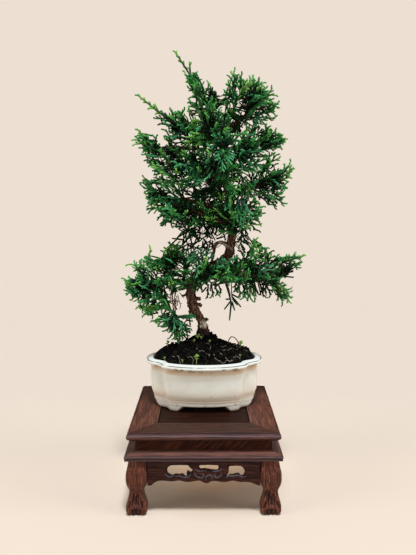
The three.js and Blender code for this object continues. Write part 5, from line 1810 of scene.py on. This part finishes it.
def leaf_cluster(foot, height, size, count):
    """A thin stem with small round leaves about it."""
    stem = spline([soil_place(*foot, above) for above in (-2.0, height * 0.5, height)], 4)
    parts = [round_tube(stem, 0.4, 8)]
    first = rng.uniform(0, 6.28)
    for i in range(count):
        turn = first + i * 2.4
        way = (math.cos(turn), math.sin(turn), rng.uniform(0.1, 0.9))
        from_stem = np.array(soil_place(*foot, height * rng.uniform(0.45, 1.0)))
        parts.append(leaf(from_stem, way, size * rng.uniform(0.8, 1.15), size * rng.uniform(0.65, 0.9)))
    return joined(parts)


def add_seedlings(material):
    for name, (foot, height, size) in SEEDLINGS.items():
        mesh = mesh_from(name, *leaf_cluster(foot, height, size, 11))
        link_mesh(name + "_leaves", mesh, material, [name])
    clusters = [leaf_cluster(*weed) for weed in TINY_WEEDS]
    mesh = mesh_from("tiny_weeds", *joined([(points, *faces) for points, faces in clusters]))
    link_mesh("tiny_weeds", mesh, material, [])


# Right and back of the pot's middle, and height above the soil
ROOT_LOOP = [(27, 2, -3), (27.5, 2, 4.5), (31, 1, 10), (36, -2, 8), (39, -3, 2.5), (39, -3, -3)]


def add_root_loop(material):
    route = spline([soil_place(*place) for place in ROOT_LOOP], 8)
    points, *faces = round_tube(route, 0.55, 10)
    blank = np.zeros(len(points))
    mesh = mesh_from("root_loop", points, faces, {"deadwood": blank, "shade": blank})
    link_mesh("root_loop_bark", mesh, material, ["root_loop"])


# Routes of the pale rootlets over the soil, from the middle of the pot
ROOTLETS = [
    [(-8.3, -20.3), (-6.6, -25.8), (-2.2, -26.8), (4.9, -31.6), (5.6, -33)],
    [(11, -30.3), (11.7, -33.8), (17.7, -35.5), (23.8, -33.8), (31.7, -30.8)],
    [(16.4, -28.1), (23.9, -31.6), (27, -32.8), (36.7, -24.3), (40, -19.3)],
    [(3.2, -15.6), (7.2, -20.3), (5.6, -29.3)], [(33.2, 0.4), (40.8, -6.3), (48.6, -9.8)],
    [(20, -22), (26, -20), (30, -14), (38, -12)], [(-34, -26), (-28, -30), (-24, -36)],
    [(14, -14), (20, -16), (25, -12)], [(-18, -32), (-12, -34), (-13, -39)],
]


def add_rootlets(material):
    parts = []
    for path in ROOTLETS:
        rows = spline(path, 10)
        steps = np.arange(len(rows))
        lift = 0.5 + 0.4 * np.sin(steps * 0.7 + rng.uniform(0, 6))
        sway_right = np.sin(steps * 0.4 + rng.uniform(0, 6))
        sway_back = np.cos(steps * 0.5 + rng.uniform(0, 6))
        swaying = rows + 0.45 * np.stack([sway_right, sway_back], -1)
        places = np.array([soil_place(x, y, up) for (x, y), up in zip(swaying, lift)])
        parts.append(round_tube(places, np.interp(steps, [0, len(rows) - 1], [0.27, 0.18]), 6))
    link_mesh("rootlets", mesh_from("rootlets", *joined(parts)), material, [])


# Camera, lights and stage

def add_camera():
    data = bpy.data.cameras.new("camera")
    data.sensor_fit = "AUTO"
    data.sensor_width = 36.0
    data.lens = data.sensor_width * FOCAL_PIXELS / IMAGE_HEIGHT
    data.clip_start = 0.01
    camera = placed("camera", data)
    camera.location = Vector(row_frame(CAMERA_FROM_STAND))
    camera.rotation_euler = (math.pi / 2 - PITCH, 0, -YAW)
    bpy.context.scene.camera = camera


def add_sun(name, way, strength, spread, color):
    """Light from far off. way points from the tree to the light."""
    data = bpy.data.lights.new(name, "SUN")
    data.energy = strength
    data.angle = math.radians(spread)
    data.color = color
    placed(name, data).rotation_euler = Vector(way).to_track_quat("Z", "Y").to_euler()


def add_world():
    """An even pale room: a colour that lights the scene, and a lighter one that the camera sees."""
    world = bpy.data.worlds.new("studio")
    bpy.context.scene.world = world
    world.use_nodes = True
    tree = world.node_tree
    path = tree.nodes.new("ShaderNodeLightPath")
    mix = tree.nodes.new("ShaderNodeMix")
    mix.data_type = "RGBA"
    mix.inputs[6].default_value = (0.255, 0.222, 0.185, 1)
    mix.inputs[7].default_value = (*srgb(237, 224, 210), 1)
    tree.links.new(path.outputs["Is Camera Ray"], mix.inputs[0])
    tree.links.new(mix.outputs[2], tree.nodes["Background"].inputs["Color"])


def floor_material():
    """A pale floor with painted light: paler towards the front, a little darker behind the stand, and a warm
    painted shadow under it. It fades out far away.
    """
    nodes = Nodes("floor")
    distance = nodes.add("ShaderNodeVectorMath", {"operation": "LENGTH"})
    nodes.plug(distance, "0", nodes.position())
    away = distance.outputs["Value"]
    back = nodes.add("ShaderNodeSeparateXYZ", Vector=nodes.position()).outputs["Y"]
    # Painted light: paler towards the front, and painted shade a little darker behind
    near = nodes.mix(nodes.between(back, -0.06, -0.46), (0.655, 0.578, 0.5), (0.70, 0.62, 0.535))
    plain = nodes.mix(nodes.between(back, 0.02, 0.3), near, (0.6, 0.543, 0.483))
    # Painted shadow: warm brown under the stand
    color = nodes.mix(nodes.between(away, 0.02, 0.09, 1.0, 0.0), plain, (0.48, 0.35, 0.25))
    nodes.finish(color, 0.9, 0.1)
    clear = nodes.add("ShaderNodeBsdfTransparent")
    mixed = nodes.add("ShaderNodeMixShader")
    nodes.plug_all(mixed, "012", (nodes.between(away, 0.9, 2.0), nodes.shader.outputs[0], clear.outputs[0]))
    nodes.plug(nodes.tree.nodes["Material Output"], "Surface", mixed.outputs[0])
    return nodes.material


def add_stage():
    steps = 96
    turn = full_turn(steps)
    radii = np.array([0.01, 0.3, 0.7, 1.1, 1.6, 2.2]) / MM
    rings = [np.stack([r * np.cos(turn), r * np.sin(turn), np.zeros(steps)], -1) for r in radii]
    mesh = mesh_from("floor", np.concatenate(rings), skin(len(radii), steps, flipped=True)[:2])
    mesh.materials.append(floor_material())
    floor = placed("floor", mesh)


def add_lights():
    warm = (1.0, 0.92, 0.84)
    add_sun("overhead", (0.06, -0.3, 1.0), 3.15, 11, (0.97, 0.98, 1.0))
    add_sun("from_left", (-1.0, -0.35, 0.33), 1.1, 30, warm)
    add_sun("from_right", (1.0, -0.25, 0.33), 1.3, 30, warm)
    add_sun("from_front", (0.1, -1.0, 0.06), 0.22, 40, (1.0, 0.93, 0.86))
    add_glow_under_stand()


def add_glow_under_stand():
    """Light that reaches the floor below the stand, as from a pale room."""
    data = bpy.data.lights.new("under_stand", "AREA")
    data.shape = "RECTANGLE"
    data.size = 0.1
    data.size_y = 0.024
    data.energy = 0.042
    data.color = (1.0, 0.88, 0.76)
    light = placed("under_stand", data)
    light.location = Vector(row_frame((0, 40, 60)))
    light.visible_camera = False


def add_drains():
    """The frame's own screens and wires stay, with a material each."""
    for part, material in (("screen", dark_plastic()), ("wire", bright_wire())):
        for side in ("left", "right"):
            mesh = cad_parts[f"drain_{part}_{side}"].data
            mesh.materials.clear()
            mesh.materials.append(material)


def build():
    bpy.context.scene.view_settings.view_transform = "Standard"
    add_camera()
    add_world()
    add_stage()
    add_lights()
    wood = rosewood()
    add_frame_bars(wood)
    add_panel(wood)
    add_legs(wood)
    add_aprons(wood)
    add_pot(glaze())
    add_soil(peat())
    trunk_bark = bark()
    add_trunk(trunk_bark)
    add_root_loop(trunk_bark)
    add_rootlets(rootlet())
    add_seedlings(leafy())
    add_foliage(juniper())
    add_drains()


build()
